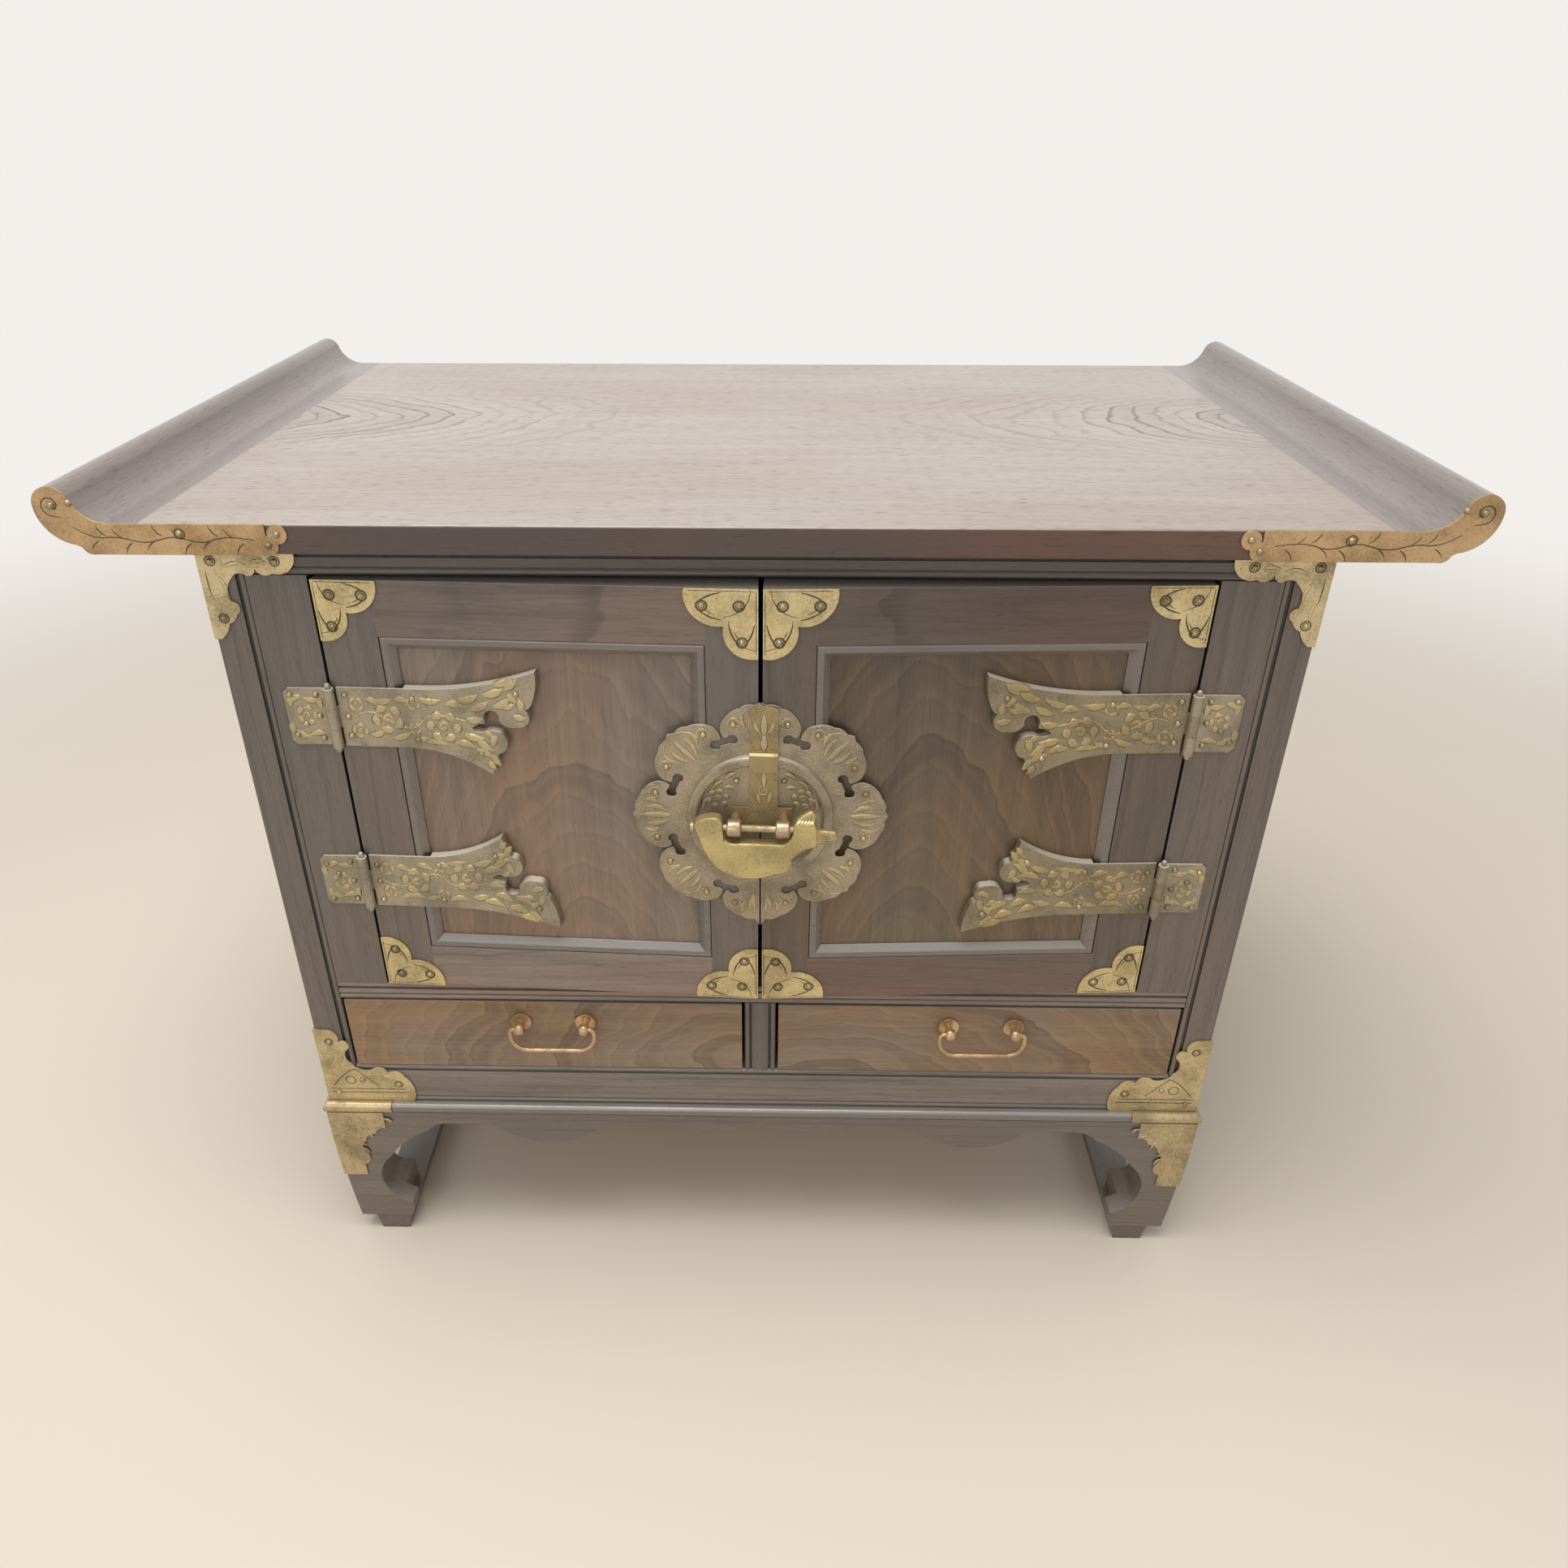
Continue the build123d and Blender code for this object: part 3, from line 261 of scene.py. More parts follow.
# %% [markdown]
# ## Wood
# A board shows the tree's rings where the saw met them.  If the rings are cylinders round a heart that
# leans into the board, the cut gives long pointed arches above the heart and straight lines beside it,
# which is just how elm looks.  So the finish works out the distance from a leaning heart, bends it with
# noise, and darkens the end of each ring.  Some rings are strong and some faint, and short open pores
# run along the grain.  On the panels and drawers each ring is also a broad soft band.  Above the level
# of the top's face, its finish goes over to pale colours, a painted glare of the light falling on the
# top, and its figure shows only near the ends of the board.  The finish paints light and shade too:
# painted shade where another piece stands near, painted highlights along the arrises and on upward
# faces, and on some boards painted shade that deepens towards the top of the case.

# %% Choose the wood's noises, edges, painted shade and painted highlights
# Each noise is its stretch along the grain, its waves to the metre, its detail and its roughness.
bend_noise = (0.45, 16.0, 3.0, 0.5)
ripple_noise = (0.6, 70.0, 2.0, 0.5)
fibre_noise = (0.03, 520.0, 3.0, 0.6)
band_noise = (0.06, 75.0, 3.0, 0.5)
pore_noise = (0.07, 1150.0, 1.0, 0.5)
patch_noise = (0.5, 9.0, 3.0, 0.5)
arris_radius = 1.1 * mm
# How near another piece stands before the wood is painted darker, as painted shade in corners and recesses.
shade_reach = 5 * mm
grain_depth = 0.22 * mm
# The pale colours of the painted highlights: the first along the arrises, the second on upward faces.
edge_highlight, upward_highlight_colour = paint("#A59C96"), paint("#ABA49F")
print("one pore is about", round(1000 / pore_noise[1], 1), "mm wide")


# %% A solid wood finish
def wood(name, grain, dark, light, warm, heart, slope=0.0, ring=6 * mm, wander=8 * mm, contrast=0.5,
         pores=0.5, streak=0.5, roughness=0.42, coat=0.35, top_glare=None, upper_shade=0.0, gleam=0.3, upward_highlight=0.5,
         broad=0.0):
    """Wood whose fibres run along an axis; the heart is a place across, along and deep."""
    wooden = Finish(name)
    x, y, z = wooden.axes()
    along, across, deep = {"X": (x, z, y), "Z": (z, x, y), "Y": (y, z, x), "top": (x, y, z)}[grain]

    def grained(stretch, scale, detail, rough):
        """Noise drawn out along the grain."""
        return wooden.noise(wooden.vector(across, deep, along * stretch), scale, detail, rough)

    deepest = shaded(dark, 0.4)
    # On the top, the face above its level is painted in pale colours: a painted glare of the light falling on
    # it.
    if top_glare:
        level, glare_dark, glare_light, glare_warm = top_glare
        above = z.step(level - 1.2 * mm, level - 0.4 * mm)
        dark, light, warm = (wooden.mix(above, usual, glared) for usual, glared in
                             ((dark, glare_dark), (light, glare_light), (warm, glare_warm)))
    bend = grained(*bend_noise) - 0.5
    ripple = grained(*ripple_noise) - 0.5
    run = (along * along + 0.04).root() if top_glare else along
    sideways = across - heart[0]
    inward = (run - heart[1]) * slope + (deep - heart[2])
    distance = (sideways * sideways + inward * inward).root()
    rings = (distance + bend * wander + ripple * (wander * 0.12)) / ring
    phase = rings.part()
    chance = ((rings - phase) * 12.9898).wave().part().size()
    late = phase.step(0.70, 0.96) * (1.0 - phase.step(0.965, 1.0)) * (chance * 0.75 + 0.25)
    swell = (1.0 - (phase - 0.5).size().step(0.08, 0.48)) * (chance * 0.8 + 0.2)
    late = late * (1.0 - broad) + swell * broad
    early = (1.0 - phase) * (chance - 0.5) * (1.0 - broad)
    fibre = grained(*fibre_noise)
    band = grained(*band_noise)
    pore = grained(*pore_noise).step(0.60, 0.70)
    patch = grained(*patch_noise).step(0.35, 0.68)
    if top_glare:
        near_ends, near_heart = along.size().step(0.06, 0.27), 1.0 - sideways.size().step(0.03, 0.12)
        contrast = near_ends * near_heart * contrast + 0.12
    tone = late * contrast + early * (contrast * 0.35) + (fibre - 0.5) * streak * 0.7 + (band - 0.5) * streak
    # Painted shade: the colour grows darker towards the top of the case, between 0.28 and 0.56 m up.
    tone = tone + z.step(0.28, 0.56) * upper_shade
    body = wooden.mix(patch, light, warm)
    color = wooden.mix((tone + 0.12).least(1.0).most(0.0), body, dark)
    color = wooden.mix(pore * (phase * -0.6 + 1.0) * pores, color, deepest)
    round_edge = wooden.soft_edges(arris_radius)
    open_air = wooden.open_air(shade_reach)
    # Painted highlight: a pale colour along the open rounded arrises.
    arris = (1.0 - wooden.agreement(round_edge)).step(0.02, 0.16) * open_air.step(0.8, 1.0)
    # Painted shade: the colour darkens where another piece stands near.
    color = wooden.mix((1.0 - open_air).step(0.1, 0.7) * 0.75, color, deepest)
    color = wooden.mix(arris * gleam, color, edge_highlight)
    # Painted highlight: faces that point up go over to a pale colour.
    color = wooden.mix(wooden.rise(round_edge).step(0.35, 0.9) * upward_highlight, color, upward_highlight_colour)
    height = fibre * 0.35 - pore * 0.7 - late * 0.12
    normal = wooden.bump(height, grain_depth, 0.45, round_edge)
    return wooden.finish(color, fibre * 0.14 + (roughness - 0.07) + pore * 0.12, normal, coat=coat)


print("wood is ready to be cut")


# %% Cut the frame's woods
def tones(dark, light, warm):
    return {"dark": paint(dark), "light": paint(light), "warm": paint(warm)}


rail_cut = {"grain": "X", "heart": (0.55, 0.0, 0.25), "ring": 5 * mm, "pores": 0.3}
post_cut = {"grain": "Z", "heart": (0.05, 0.0, 0.30), "ring": 5 * mm, "pores": 0.3}
dark_elm = tones("#3A302B", "#6B635D", "#75655A")
# The rails here and the right panel below are painted darker towards their tops: painted shade.
rail_wood = wood("wood_rails", contrast=0.3, streak=0.8, upper_shade=0.36, **rail_cut,
                 **tones("#3B2F29", "#887B72", "#93796A"))
# The right door's rails are a darker copy of the rails: painted shade on the right door.
shaded_right_rail_wood = wood("wood_right_door_rails_shaded", contrast=0.3, streak=0.7, upper_shade=0.36, **rail_cut,
                       **tones("#30241D", "#6C5F56", "#74594A"))
bottom_rail_wood = wood("wood_bottom_rail", contrast=0.4, streak=1.0, **rail_cut,
                        **tones("#3B312D", "#82776F", "#837468"))
# The top rail is a darker copy of the rails: painted shade under the overhang of the top.
shaded_top_rail_wood = wood("wood_top_rail_shaded", contrast=0.3, **rail_cut, **tones("#2E2624", "#5B5250", "#5E5049"))
# The right door's stiles are a darker copy too: painted shade on the right door.
shaded_right_stile_wood = wood("wood_right_stiles_shaded", contrast=0.4, streak=0.8, **post_cut,
                        **tones("#33281F", "#63584F", "#695644"))
post_wood = wood("wood_posts", contrast=0.3, streak=0.8, **post_cut, **dark_elm)
side_wood = wood("wood_side_boards", "Y", heart=(0.3, 0.1, 0.1), slope=0.1, contrast=0.4, pores=0.3,
                 **dark_elm)
stand_wood = wood("wood_stand", "X", heart=(0.4, 0.0, 0.2), contrast=0.25, pores=0.3,
                  **tones("#3A302B", "#756D66", "#786A60"))
# The mouldings carry a painted highlight on their upward faces and a faint painted highlight along their
# arrises.
moulded_wood = wood("wood_mouldings", contrast=0.2, streak=0.4, roughness=0.28, coat=1.0, gleam=0.15,
                    upward_highlight=0.58, **rail_cut, **dark_elm)
polish_ior = 1.65
moulded_wood.node_tree.nodes["Principled BSDF"].inputs["Coat IOR"].default_value = polish_ior
bare_wood = wood("wood_bare", "Y", heart=(0.4, 0.0, 0.2), contrast=0.3, roughness=0.65, coat=0.0,
                 upward_highlight=0.1, **tones("#8C7358", "#B79C7A", "#A98A66"))
print("woods:", [m.name for m in bpy.data.materials if m.name.startswith("wood")])

# %% Cut the top, the panels and the drawer fronts
top_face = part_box("top_board")[1][2]
behind_face = front + 4 * mm
panel_cut = {"grain": "Z", "ring": 11 * mm, "contrast": 0.62, "streak": 0.7, "pores": 0.2, "broad": 0.45}
drawer_cut = {"grain": "X", "wander": 60 * mm, "contrast": 0.75, "streak": 0.6, "pores": 0.2, "broad": 0.45}
drawer_tones = tones("#3F2F24", "#8D7B69", "#9C784F")
scroll_wood = wood("wood_scrolls", "Y", heart=(0.5, 0.0, 0.2), ring=5 * mm, contrast=0.2, streak=0.4,
                   roughness=0.3, coat=0.7, upward_highlight=0.0, **tones("#4A403C", "#857B76", "#7C7069"))
# Above its face the top goes over to pale colours: a painted glare of the light falling on the top.
top_wood = wood("wood_top", "top", heart=(0.035, 0.50, top_face + 2 * mm), slope=0.52, ring=8 * mm,
                wander=26 * mm, contrast=0.9, pores=0.6, streak=0.35, roughness=0.34, coat=0.6, upward_highlight=0.0,
                top_glare=(top_face, paint("#4A3A31"), paint("#AB9F96"), paint("#A39286")),
                **tones("#2E1E18", "#493933", "#66412C"))
left_panel_wood = wood("wood_left_panel", heart=(-0.122, 0.215, behind_face), slope=0.40, wander=36 * mm,
                       **panel_cut, **tones("#433833", "#8A7B6D", "#94785F"))
# The right panel is darker than the left: painted shade on the right door.
shaded_right_panel_wood = wood("wood_right_panel_shaded", heart=(0.108, 0.225, behind_face), slope=0.42,
                        wander=34 * mm, upper_shade=0.28, **panel_cut, **tones("#30251D", "#71634F", "#806443"))
left_drawer_wood = wood("wood_left_drawer", heart=(0.190, -0.02, behind_face), slope=0.75, ring=13 * mm,
                        **drawer_cut, **drawer_tones)
right_drawer_wood = wood("wood_right_drawer", heart=(0.168, 0.050, behind_face), slope=0.55, ring=12 * mm,
                         **drawer_cut, **drawer_tones)
print("the top's face is", round(top_face, 3), "m up")

# %% [markdown]
# ## Brass
# Old sheet brass is bright only where hands or cloths reach.  Tarnish lies in clouds, with small dark
# spots, and it is rougher than the bare metal.  One finish takes a bright and a dull colour, so that
# the lock, the plates and the hinges can each be as worn as they are.  Tarnish is not quite a metal, so
# the metallic value drops where it lies.  Upward-facing rims get a pale painted highlight, and the
# metallic value drops there too.


# %% A brass finish
# Each noise is its waves to the metre, its detail and, for the clouds, its roughness.
cloud_noise, speck_noise, dent_noise = (38.0, 4.0, 0.6), (640.0, 2.0), (150.0, 2.0)
sheet_radius = 0.4 * mm
# The pale colour of the painted highlight on upward-facing rims.
brass_highlight = paint("#E6DDCD")


def brass(name, bright, dull, roughness=0.38, gleam=0.85, dent=0.12 * mm, rim_highlight=0.0):
    """Brass with clouds of tarnish, dark specks, and a painted highlight on its upward-facing rims."""
    metal = Finish(name)
    bright, dull = paint(bright), paint(dull)
    clouds = metal.noise(metal.place, *cloud_noise)
    specks = metal.noise(metal.place, *speck_noise)
    tarnish = (clouds * 0.72 + specks * 0.28).step(0.38, 0.66)
    color = metal.mix(tarnish, bright, dull)
    color = metal.mix(specks.step(0.63, 0.75) * 0.45, color, shaded(dull, 0.35))
    # Painted highlight: upward-facing faces go over to the pale colour and lose their metal.
    ledge_highlight = metal.rise(metal.true_normal()).step(0.6, 0.95) * rim_highlight
    color = metal.mix(ledge_highlight, color, brass_highlight)
    dents = metal.noise(metal.place, *dent_noise)
    normal = metal.bump(specks * 0.5 + dents, dent, 0.5, metal.soft_edges(sheet_radius))
    made = metal.finish(color, tarnish * 0.2 + roughness, normal)
    metal.feed(metal.surface.inputs["Metallic"], (tarnish * -0.35 + gleam) * (1.0 - ledge_highlight))
    return made


print("brass is ready to be rolled")

# %% Choose the brasses
plate_brass = brass("brass_plates", "#D6C595", "#AC9A70")
plate_line = brass("brass_plate_lines", "#6E6044", "#4C402C", gleam=0.4)
mount_brass = brass("brass_mounts", "#D0BE95", "#9F8E69")
shoe_brass = brass("brass_shoes", "#C3B18C", "#948466", dent=0.5 * mm)
# The rim amounts set the painted highlight on upward-facing rims.
hinge_ground = brass("brass_hinges", "#A99E87", "#877D6A", gleam=0.6, rim_highlight=0.85)
hinge_gold = brass("brass_hinge_scrolls", "#C2B38B", "#A09271")
# The right hinges are darker copies of the left ones: painted shade on the right door.
shaded_right_hinge_ground = brass("brass_right_hinges_shaded", "#998C73", "#776C57", gleam=0.6, rim_highlight=0.7)
shaded_right_hinge_gold = brass("brass_right_hinge_scrolls_shaded", "#B5A379", "#93835E")
lock_ground = brass("brass_lock", "#A99C85", "#877B66", gleam=0.65, rim_highlight=0.6)
strip_brass = brass("brass_strip", "#A39269", "#7E6F50", gleam=0.65)
lock_gold = brass("brass_lock_scrolls", "#BDAE8A", "#998B6F")
fish_brass = brass("brass_fish", "#C8B885", "#A69566", roughness=0.34, dent=0.3 * mm)
pull_brass = brass("brass_pulls", "#CDAE88", "#9F815C", roughness=0.26)
staple_brass = brass("brass_staples", "#C9B194", "#9C846A", roughness=0.3)
copper_brass = brass("brass_top_ends", "#C6A67C", "#9C8059")
nail_metal = brass("brass_nails", "#B5A885", "#776A50", roughness=0.3)
print("brasses:", [m.name for m in bpy.data.materials if m.name.startswith("brass")])


# %% Give every board and plate its finish
def dress(material, *names):
    for name in names:
        nodes[name].data.materials.clear()
        nodes[name].data.materials.append(material)


dress(shaded_top_rail_wood, "top_rail")
dress(rail_wood, "middle_rail", "back_rails", "left_door_rails", "back_panels")
dress(shaded_right_rail_wood, "right_door_rails")
dress(bottom_rail_wood, "bottom_rail")
dress(moulded_wood, "left_door_moulding", "right_door_moulding", "stand_lip")
dress(post_wood, "left_front_post", "right_front_post", "back_posts", "jamb_boards", "drawer_divider",
      "left_door_stiles")
dress(shaded_right_stile_wood, "right_door_stiles")
dress(stand_wood, "stand_front_legs", "stand_back_legs", "stand_front_apron", "stand_back_apron")
dress(side_wood, "side_rails", "side_panels", "stand_side_aprons", "stand_runners")
dress(scroll_wood, "left_scroll_end", "right_scroll_end")
dress(top_wood, "top_board")
dress(left_panel_wood, "left_door_panel")
dress(shaded_right_panel_wood, "right_door_panel")
dress(left_drawer_wood, "left_drawer_front")
dress(right_drawer_wood, "right_drawer_front")
dress(bare_wood, "left_drawer_box", "right_drawer_box", "drawer_guides", "case_bottom", "tier_floor")
dress(plate_brass, "left_door_corner_brass", "right_door_corner_brass")
dress(mount_brass, "case_corner_brass", "padlock_bolt")
dress(shoe_brass, "stand_corner_brass")
dress(hinge_ground, "hinge_leaves", "left_hinge_straps", "hinge_pins")
dress(shaded_right_hinge_ground, "right_hinge_straps")
dress(lock_ground, "left_lock_plate", "right_lock_plate")
dress(strip_brass, "lock_lap_strip")
dress(fish_brass, "padlock_body")
dress(pull_brass, "left_pull_posts", "right_pull_posts", "left_pull_bail", "right_pull_bail")
dress(staple_brass, "lock_staples")
dress(copper_brass, "top_end_brass")
dress(nail_metal, "case_nails", "left_door_nails", "right_door_nails")
print("finished nodes:", len(nodes))

# %% [markdown]
# ## Drawing on brass
# Every plate is worked with scrolls: some stand up in relief and some are cut as thin dark lines.  Both
# are strokes of a graver or a punch, thick in the middle and thin at the ends.  A NURBS curve with a
# radius at each point draws such a stroke, and the tube that it makes is flattened onto the plate.  All
# strokes are written in millimetres, measured inward from a plate's corner or out from a middle, so
# the same drawing serves the left and the right.


# %% Single strokes
def bent(x, y, length, heading, bend, thick, count=6):
    """A comma-shaped leaf that starts at a point and turns by bend degrees along its length."""
    stroke, step = [], length / (count - 1)
    for i in range(count):
        share = i / (count - 1)
        swelling = sin(pi * min(1.0, 0.12 + share * 0.9)) ** 0.8
        stroke.append((x, y, thick * max(0.12, swelling)))
        angle = radians(heading + bend * share)
        x, y = x + step * cos(angle), y + step * sin(angle)
    return stroke


def spiral(x, y, radius, start, turns, thick, count=11):
    """A curl from its open end to its eye."""
    stroke = []
    for i in range(count):
        share = i / (count - 1)
        reach, angle = radius * (1 - 0.86 * share), radians(start) + turns * tau * share
        swelling = 0.35 + 0.65 * sin(pi * (0.1 + 0.8 * share))
        stroke.append((x + reach * cos(angle), y + reach * sin(angle), thick * swelling))
    return stroke


def arc(x, y, radius, start, end, thick, count=7):
    """A part of a circle, from one angle in degrees to another."""
    stroke = []
    for i in range(count):
        angle = radians(start + (end - start) * i / (count - 1))
        swelling = 0.4 + 0.6 * sin(pi * i / (count - 1))
        stroke.append((x + radius * cos(angle), y + radius * sin(angle), thick * swelling))
    return stroke


def circle(x, y, radius, thick, count=10):
    """A closed ring; the mark at the end tells the pen to close it."""
    angles = [tau * i / count for i in range(count)]
    return [(x + radius * cos(angle), y + radius * sin(angle), thick) for angle in angles] + ["closed"]


print("a leaf has", len(bent(0, 0, 10, 0, 40, 1)), "points")


# %% Blossoms and leaves
def leaves(rows, thick):
    """Leaves of one thickness; each row is a start, a length, a heading and a bend."""
    return [bent(*row, thick) for row in rows]


def flower(x, y, radius, petals, thick, turn=0.0):
    strokes = [circle(x, y, radius * 0.26, thick * 0.55, 6)]
    base = radius * 0.42
    for i in range(petals):
        angle = turn + 360 * i / petals
        foot_x, foot_y = x + base * cos(radians(angle)), y + base * sin(radians(angle))
        strokes.append(bent(foot_x, foot_y, radius * 0.66, angle, 22, thick, 5))
    return strokes


def rose(x, y, radius, petals, turn):
    """A full blossom: broad petals that curl round a coil."""
    strokes = [spiral(x, y, radius * 0.30, turn, 1.0, radius * 0.16, 8)]
    for i in range(petals):
        start = turn + 360 * i / petals
        strokes.append(arc(x, y, radius * 0.70, start + 8, start + 360 / petals - 8, radius * 0.31, 6))
    return strokes


print("a rose of five petals has", len(rose(0, 0, 10, 5, 0)), "strokes")


# %% Put a drawing at its place
def moved(strokes, rule):
    """A drawing with each point put through a rule; the marks that close a ring stay."""
    return [[p if p == "closed" else (*rule(p[0], p[1]), p[2]) for p in stroke] for stroke in strokes]


def laid(strokes, x, y, side=1, up=1):
    """A drawing put at a place: side and up say which way its own axes run there."""
    return moved(strokes, lambda a, b: (x + side * a, y + up * b))


def turned(strokes, degrees_round):
    c, s = cos(radians(degrees_round)), sin(radians(degrees_round))
    return moved(strokes, lambda a, b: (c * a - s * b, s * a + c * b))


print("a leaf's tip, a quarter turn round:", [round(v, 1) for v in turned([[(10, 0, 1)]], 90)[0][0]])


# %% [markdown]
# A plate's face becomes a matrix: it takes a drawing's x, y and height to the chest.  A drawing on a
# door also turns with the door, which rests a little ajar.


# %% Faces of the chest
case_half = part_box("right_front_post")[1][0]


def front_face(level):
    """The upright plane in front, a given height out of the case's own front."""
    return Matrix(((1, 0, 0, 0), (0, 0, -1, front - level), (0, 1, 0, 0), (0, 0, 0, 1)))


def door_face(side, level):
    """The same plane on a door, turned about its hinge."""
    hinge = Vector((side * hinge_x, hinge_y, 0))
    swing = Matrix.Translation(hinge) @ Matrix.Rotation(side * ajar, 4, "Z") @ Matrix.Translation(-hinge)
    return swing @ front_face(level)


def side_face(side, level):
    """The plane of the case's side, with x running forward on the left and back on the right."""
    return Matrix(((0, 0, side, side * (case_half + level)), (side, 0, 0, 0), (0, 1, 0, 0), (0, 0, 0, 1)))


print("the sides of the case are at x =", round(case_half, 3), "m")


# %% Turn strokes into a piece
def placed(name, mesh, body, material):
    """A smooth piece of one finish that rides on a body."""
    for polygon in mesh.polygons:
        polygon.use_smooth = True
    mesh.materials.clear()
    mesh.materials.append(material)
    piece = bpy.data.objects.new(name, mesh)
    bpy.context.scene.collection.objects.link(piece)
    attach(piece, body)
    return piece


def relief(name, strokes, face, body, material, flat):
    """Strokes as one mesh on a face, flattened to a share of their thickness."""
    line = bpy.data.curves.new(name, "CURVE")
    line.dimensions = "3D"
    line.bevel_depth = mm
    line.bevel_resolution = 1
    line.resolution_u = 3
    line.use_fill_caps = True
    for stroke in strokes:
        closed = stroke[-1] == "closed"
        points = stroke[:-1] if closed else stroke
        spline = line.splines.new("NURBS")
        spline.points.add(len(points) - 1)
        for point, (x, y, thick) in zip(spline.points, points):
            point.co = (x * mm, y * mm, 0.0, 1.0)
            point.radius = thick
        spline.use_cyclic_u = closed
        spline.use_endpoint_u = not closed
        spline.order_u = 3
    pen = bpy.data.objects.new(name, line)
    mesh = bpy.data.meshes.new_from_object(pen)
    bpy.data.objects.remove(pen)
    mesh.transform(face @ Matrix.Diagonal((1, 1, flat, 1)))
    return placed(name, mesh, body, material)


print("strokes can be laid on a face")

# %% Levels on the doors
sides = {"left": -1, "right": 1}
# How far each kind of brass stands out from the case, then how flat each kind of work lies on it
plate_level, strap_level, strip_level = 1.2 * mm, 1.4 * mm, 2.8 * mm
cut_flat, vine_flat, scroll_flat, leaf_flat = 0.16, 0.14, 0.2, 0.24
door_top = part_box("top_rail")[0][2] / mm
door_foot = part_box("middle_rail")[1][2] / mm
hinge_pin = hinge_x / mm
print("door opening from", round(door_foot, 1), "to", round(door_top, 1), "mm")

# %% [markdown]
# ## Door corner plates
# Each trefoil plate has a petal cut round each of its nails, and a thin line along each of its two
# straight edges.  The lines are dark, because polish never reaches the bottom of a cut.


# %% Draw a corner plate
def trefoil(size):
    """Cuts on a plate, measured in from its corner in shares of its size."""
    nail_round, border = 3.4, 1.3
    cuts = [arc(0.50 * size, 0.0, 0.40 * size, 95, 178, 0.33),
            arc(0.0, 0.48 * size, 0.40 * size, -5, 88, 0.33)]
    for x, y in ((0.76, 0.24), (0.22, 0.76), (0.26, 0.24)):
        cuts.append(circle(x * size, y * size, nail_round, 0.6, 8))
    for x, y, length, heading, bend, thick in (
            (0.50, 0.44, 0.40, -12, -38, 0.55), (0.50, 0.05, 0.40, 12, 34, 0.55),
            (0.40, 0.50, 0.40, 102, 38, 0.55), (0.05, 0.50, 0.40, 78, -34, 0.55),
            (0.60, 0.36, 0.17, -20, -50, 0.3), (0.33, 0.60, 0.17, 110, 50, 0.3)):
        cuts.append(bent(x * size, y * size, length * size, heading, bend, thick))
    ends = ((0.05 * size, 0.2), (0.5 * size, 0.25), (0.93 * size, 0.2))
    cuts.append([(reach, border, thick) for reach, thick in ends])
    cuts.append([(border, reach, thick) for reach, thick in ends])
    return cuts


print("a corner plate has", len(trefoil(44.0)), "cuts")

# %% Engrave the corner plates
meeting, outer = 1.2, hinge_pin - 0.9
door_head, door_sill = door_top - 2.0, door_foot + 1.0
plates = ((meeting, door_head, 1, -1, 44.0), (outer, door_head, -1, -1, 39.0),
          (meeting, door_sill, 1, 1, 43.0), (outer, door_sill, -1, 1, 41.0))
for hand, side in sides.items():
    cuts = []
    for x, z, way, up, size in plates:
        cuts += laid(trefoil(size), side * x, z, side * way, up)
    relief(f"{hand}_plate_cuts", cuts, door_face(side, plate_level), f"{hand}_door", plate_line,
           cut_flat)
print("corner plates cut:", len(sides) * len(plates))

# %% [markdown]
# ## Hinge straps
# The long straps carry a vine: a wavy stem with two roses, small blossoms, and broad leaves that fill
# the flared end.  It is raised and rubbed bright on a ground that has gone grey-brown.


# %% Draw the vines
def strap_vine():
    """Relief on a strap, measured inward from the pin and up from the middle."""
    vine = [[(10, -1, 0.6), (22, 7, 1.0), (34, -2, 1.0), (50, -9, 1.0), (60, 4, 1.0), (72, 2, 1.0),
             (90, -2, 0.6)]]
    for x, y, radius, petals, turn in ((34.0, -0.5, 11.0, 5, 10), (69.0, -5.0, 12.0, 6, 25),
                                       (15.0, 9.0, 5.6, 4, 0), (15.0, -9.5, 5.8, 4, 40),
                                       (51.5, 10.5, 5.2, 4, 20), (50.5, -7.0, 4.6, 4, 0)):
        vine += rose(x, y, radius, petals, turn)
    for x, y, length, heading, bend, thick in (
            (104, 25, 13, 10, 30, 2.6), (112, 19, 8, -60, 40, 2.2), (119, 8, 8, 80, 40, 2.4),
            (114, 4, 9, -30, 60, 2.2), (99, -17, 8, 80, -40, 2.4), (95, -29, 7, -60, 20, 2.2),
            (22, 13, 9, -10, -60, 2.0), (27, 12, 12, -15, 50, 2.0), (40, 13, 9, 10, -50, 2.0),
            (56, 14, 14, -25, 60, 2.2), (22, -12, 10, 0, 60, 2.1), (36, -14, 13, 5, 40, 2.2),
            (50, -15, 10, 0, 40, 1.9), (57, -16, 14, 5, -30, 1.9), (72, 11, 12, 10, -50, 2.4),
            (80, 14, 15, -5, 60, 2.5), (88, 8, 13, 10, 40, 2.6), (84, 1, 11, -20, 60, 2.4),
            (97, 18, 14, 5, 40, 2.8), (102, 10, 14, 10, 60, 2.6), (110, 22, 12, 30, 30, 2.4),
            (107, 10, 9, -10, 60, 2.0), (82, -10, 13, -30, 50, 2.6), (76, -16, 13, 0, -40, 2.4),
            (90, -13, 13, -60, 50, 2.7), (88, -21, 12, -10, -40, 2.4), (98, -24, 9, -70, 30, 2.2),
            (94, -8, 8, -10, -70, 1.9)):
        vine.append(bent(x, y, length, heading, bend, thick * 1.3))
    return vine


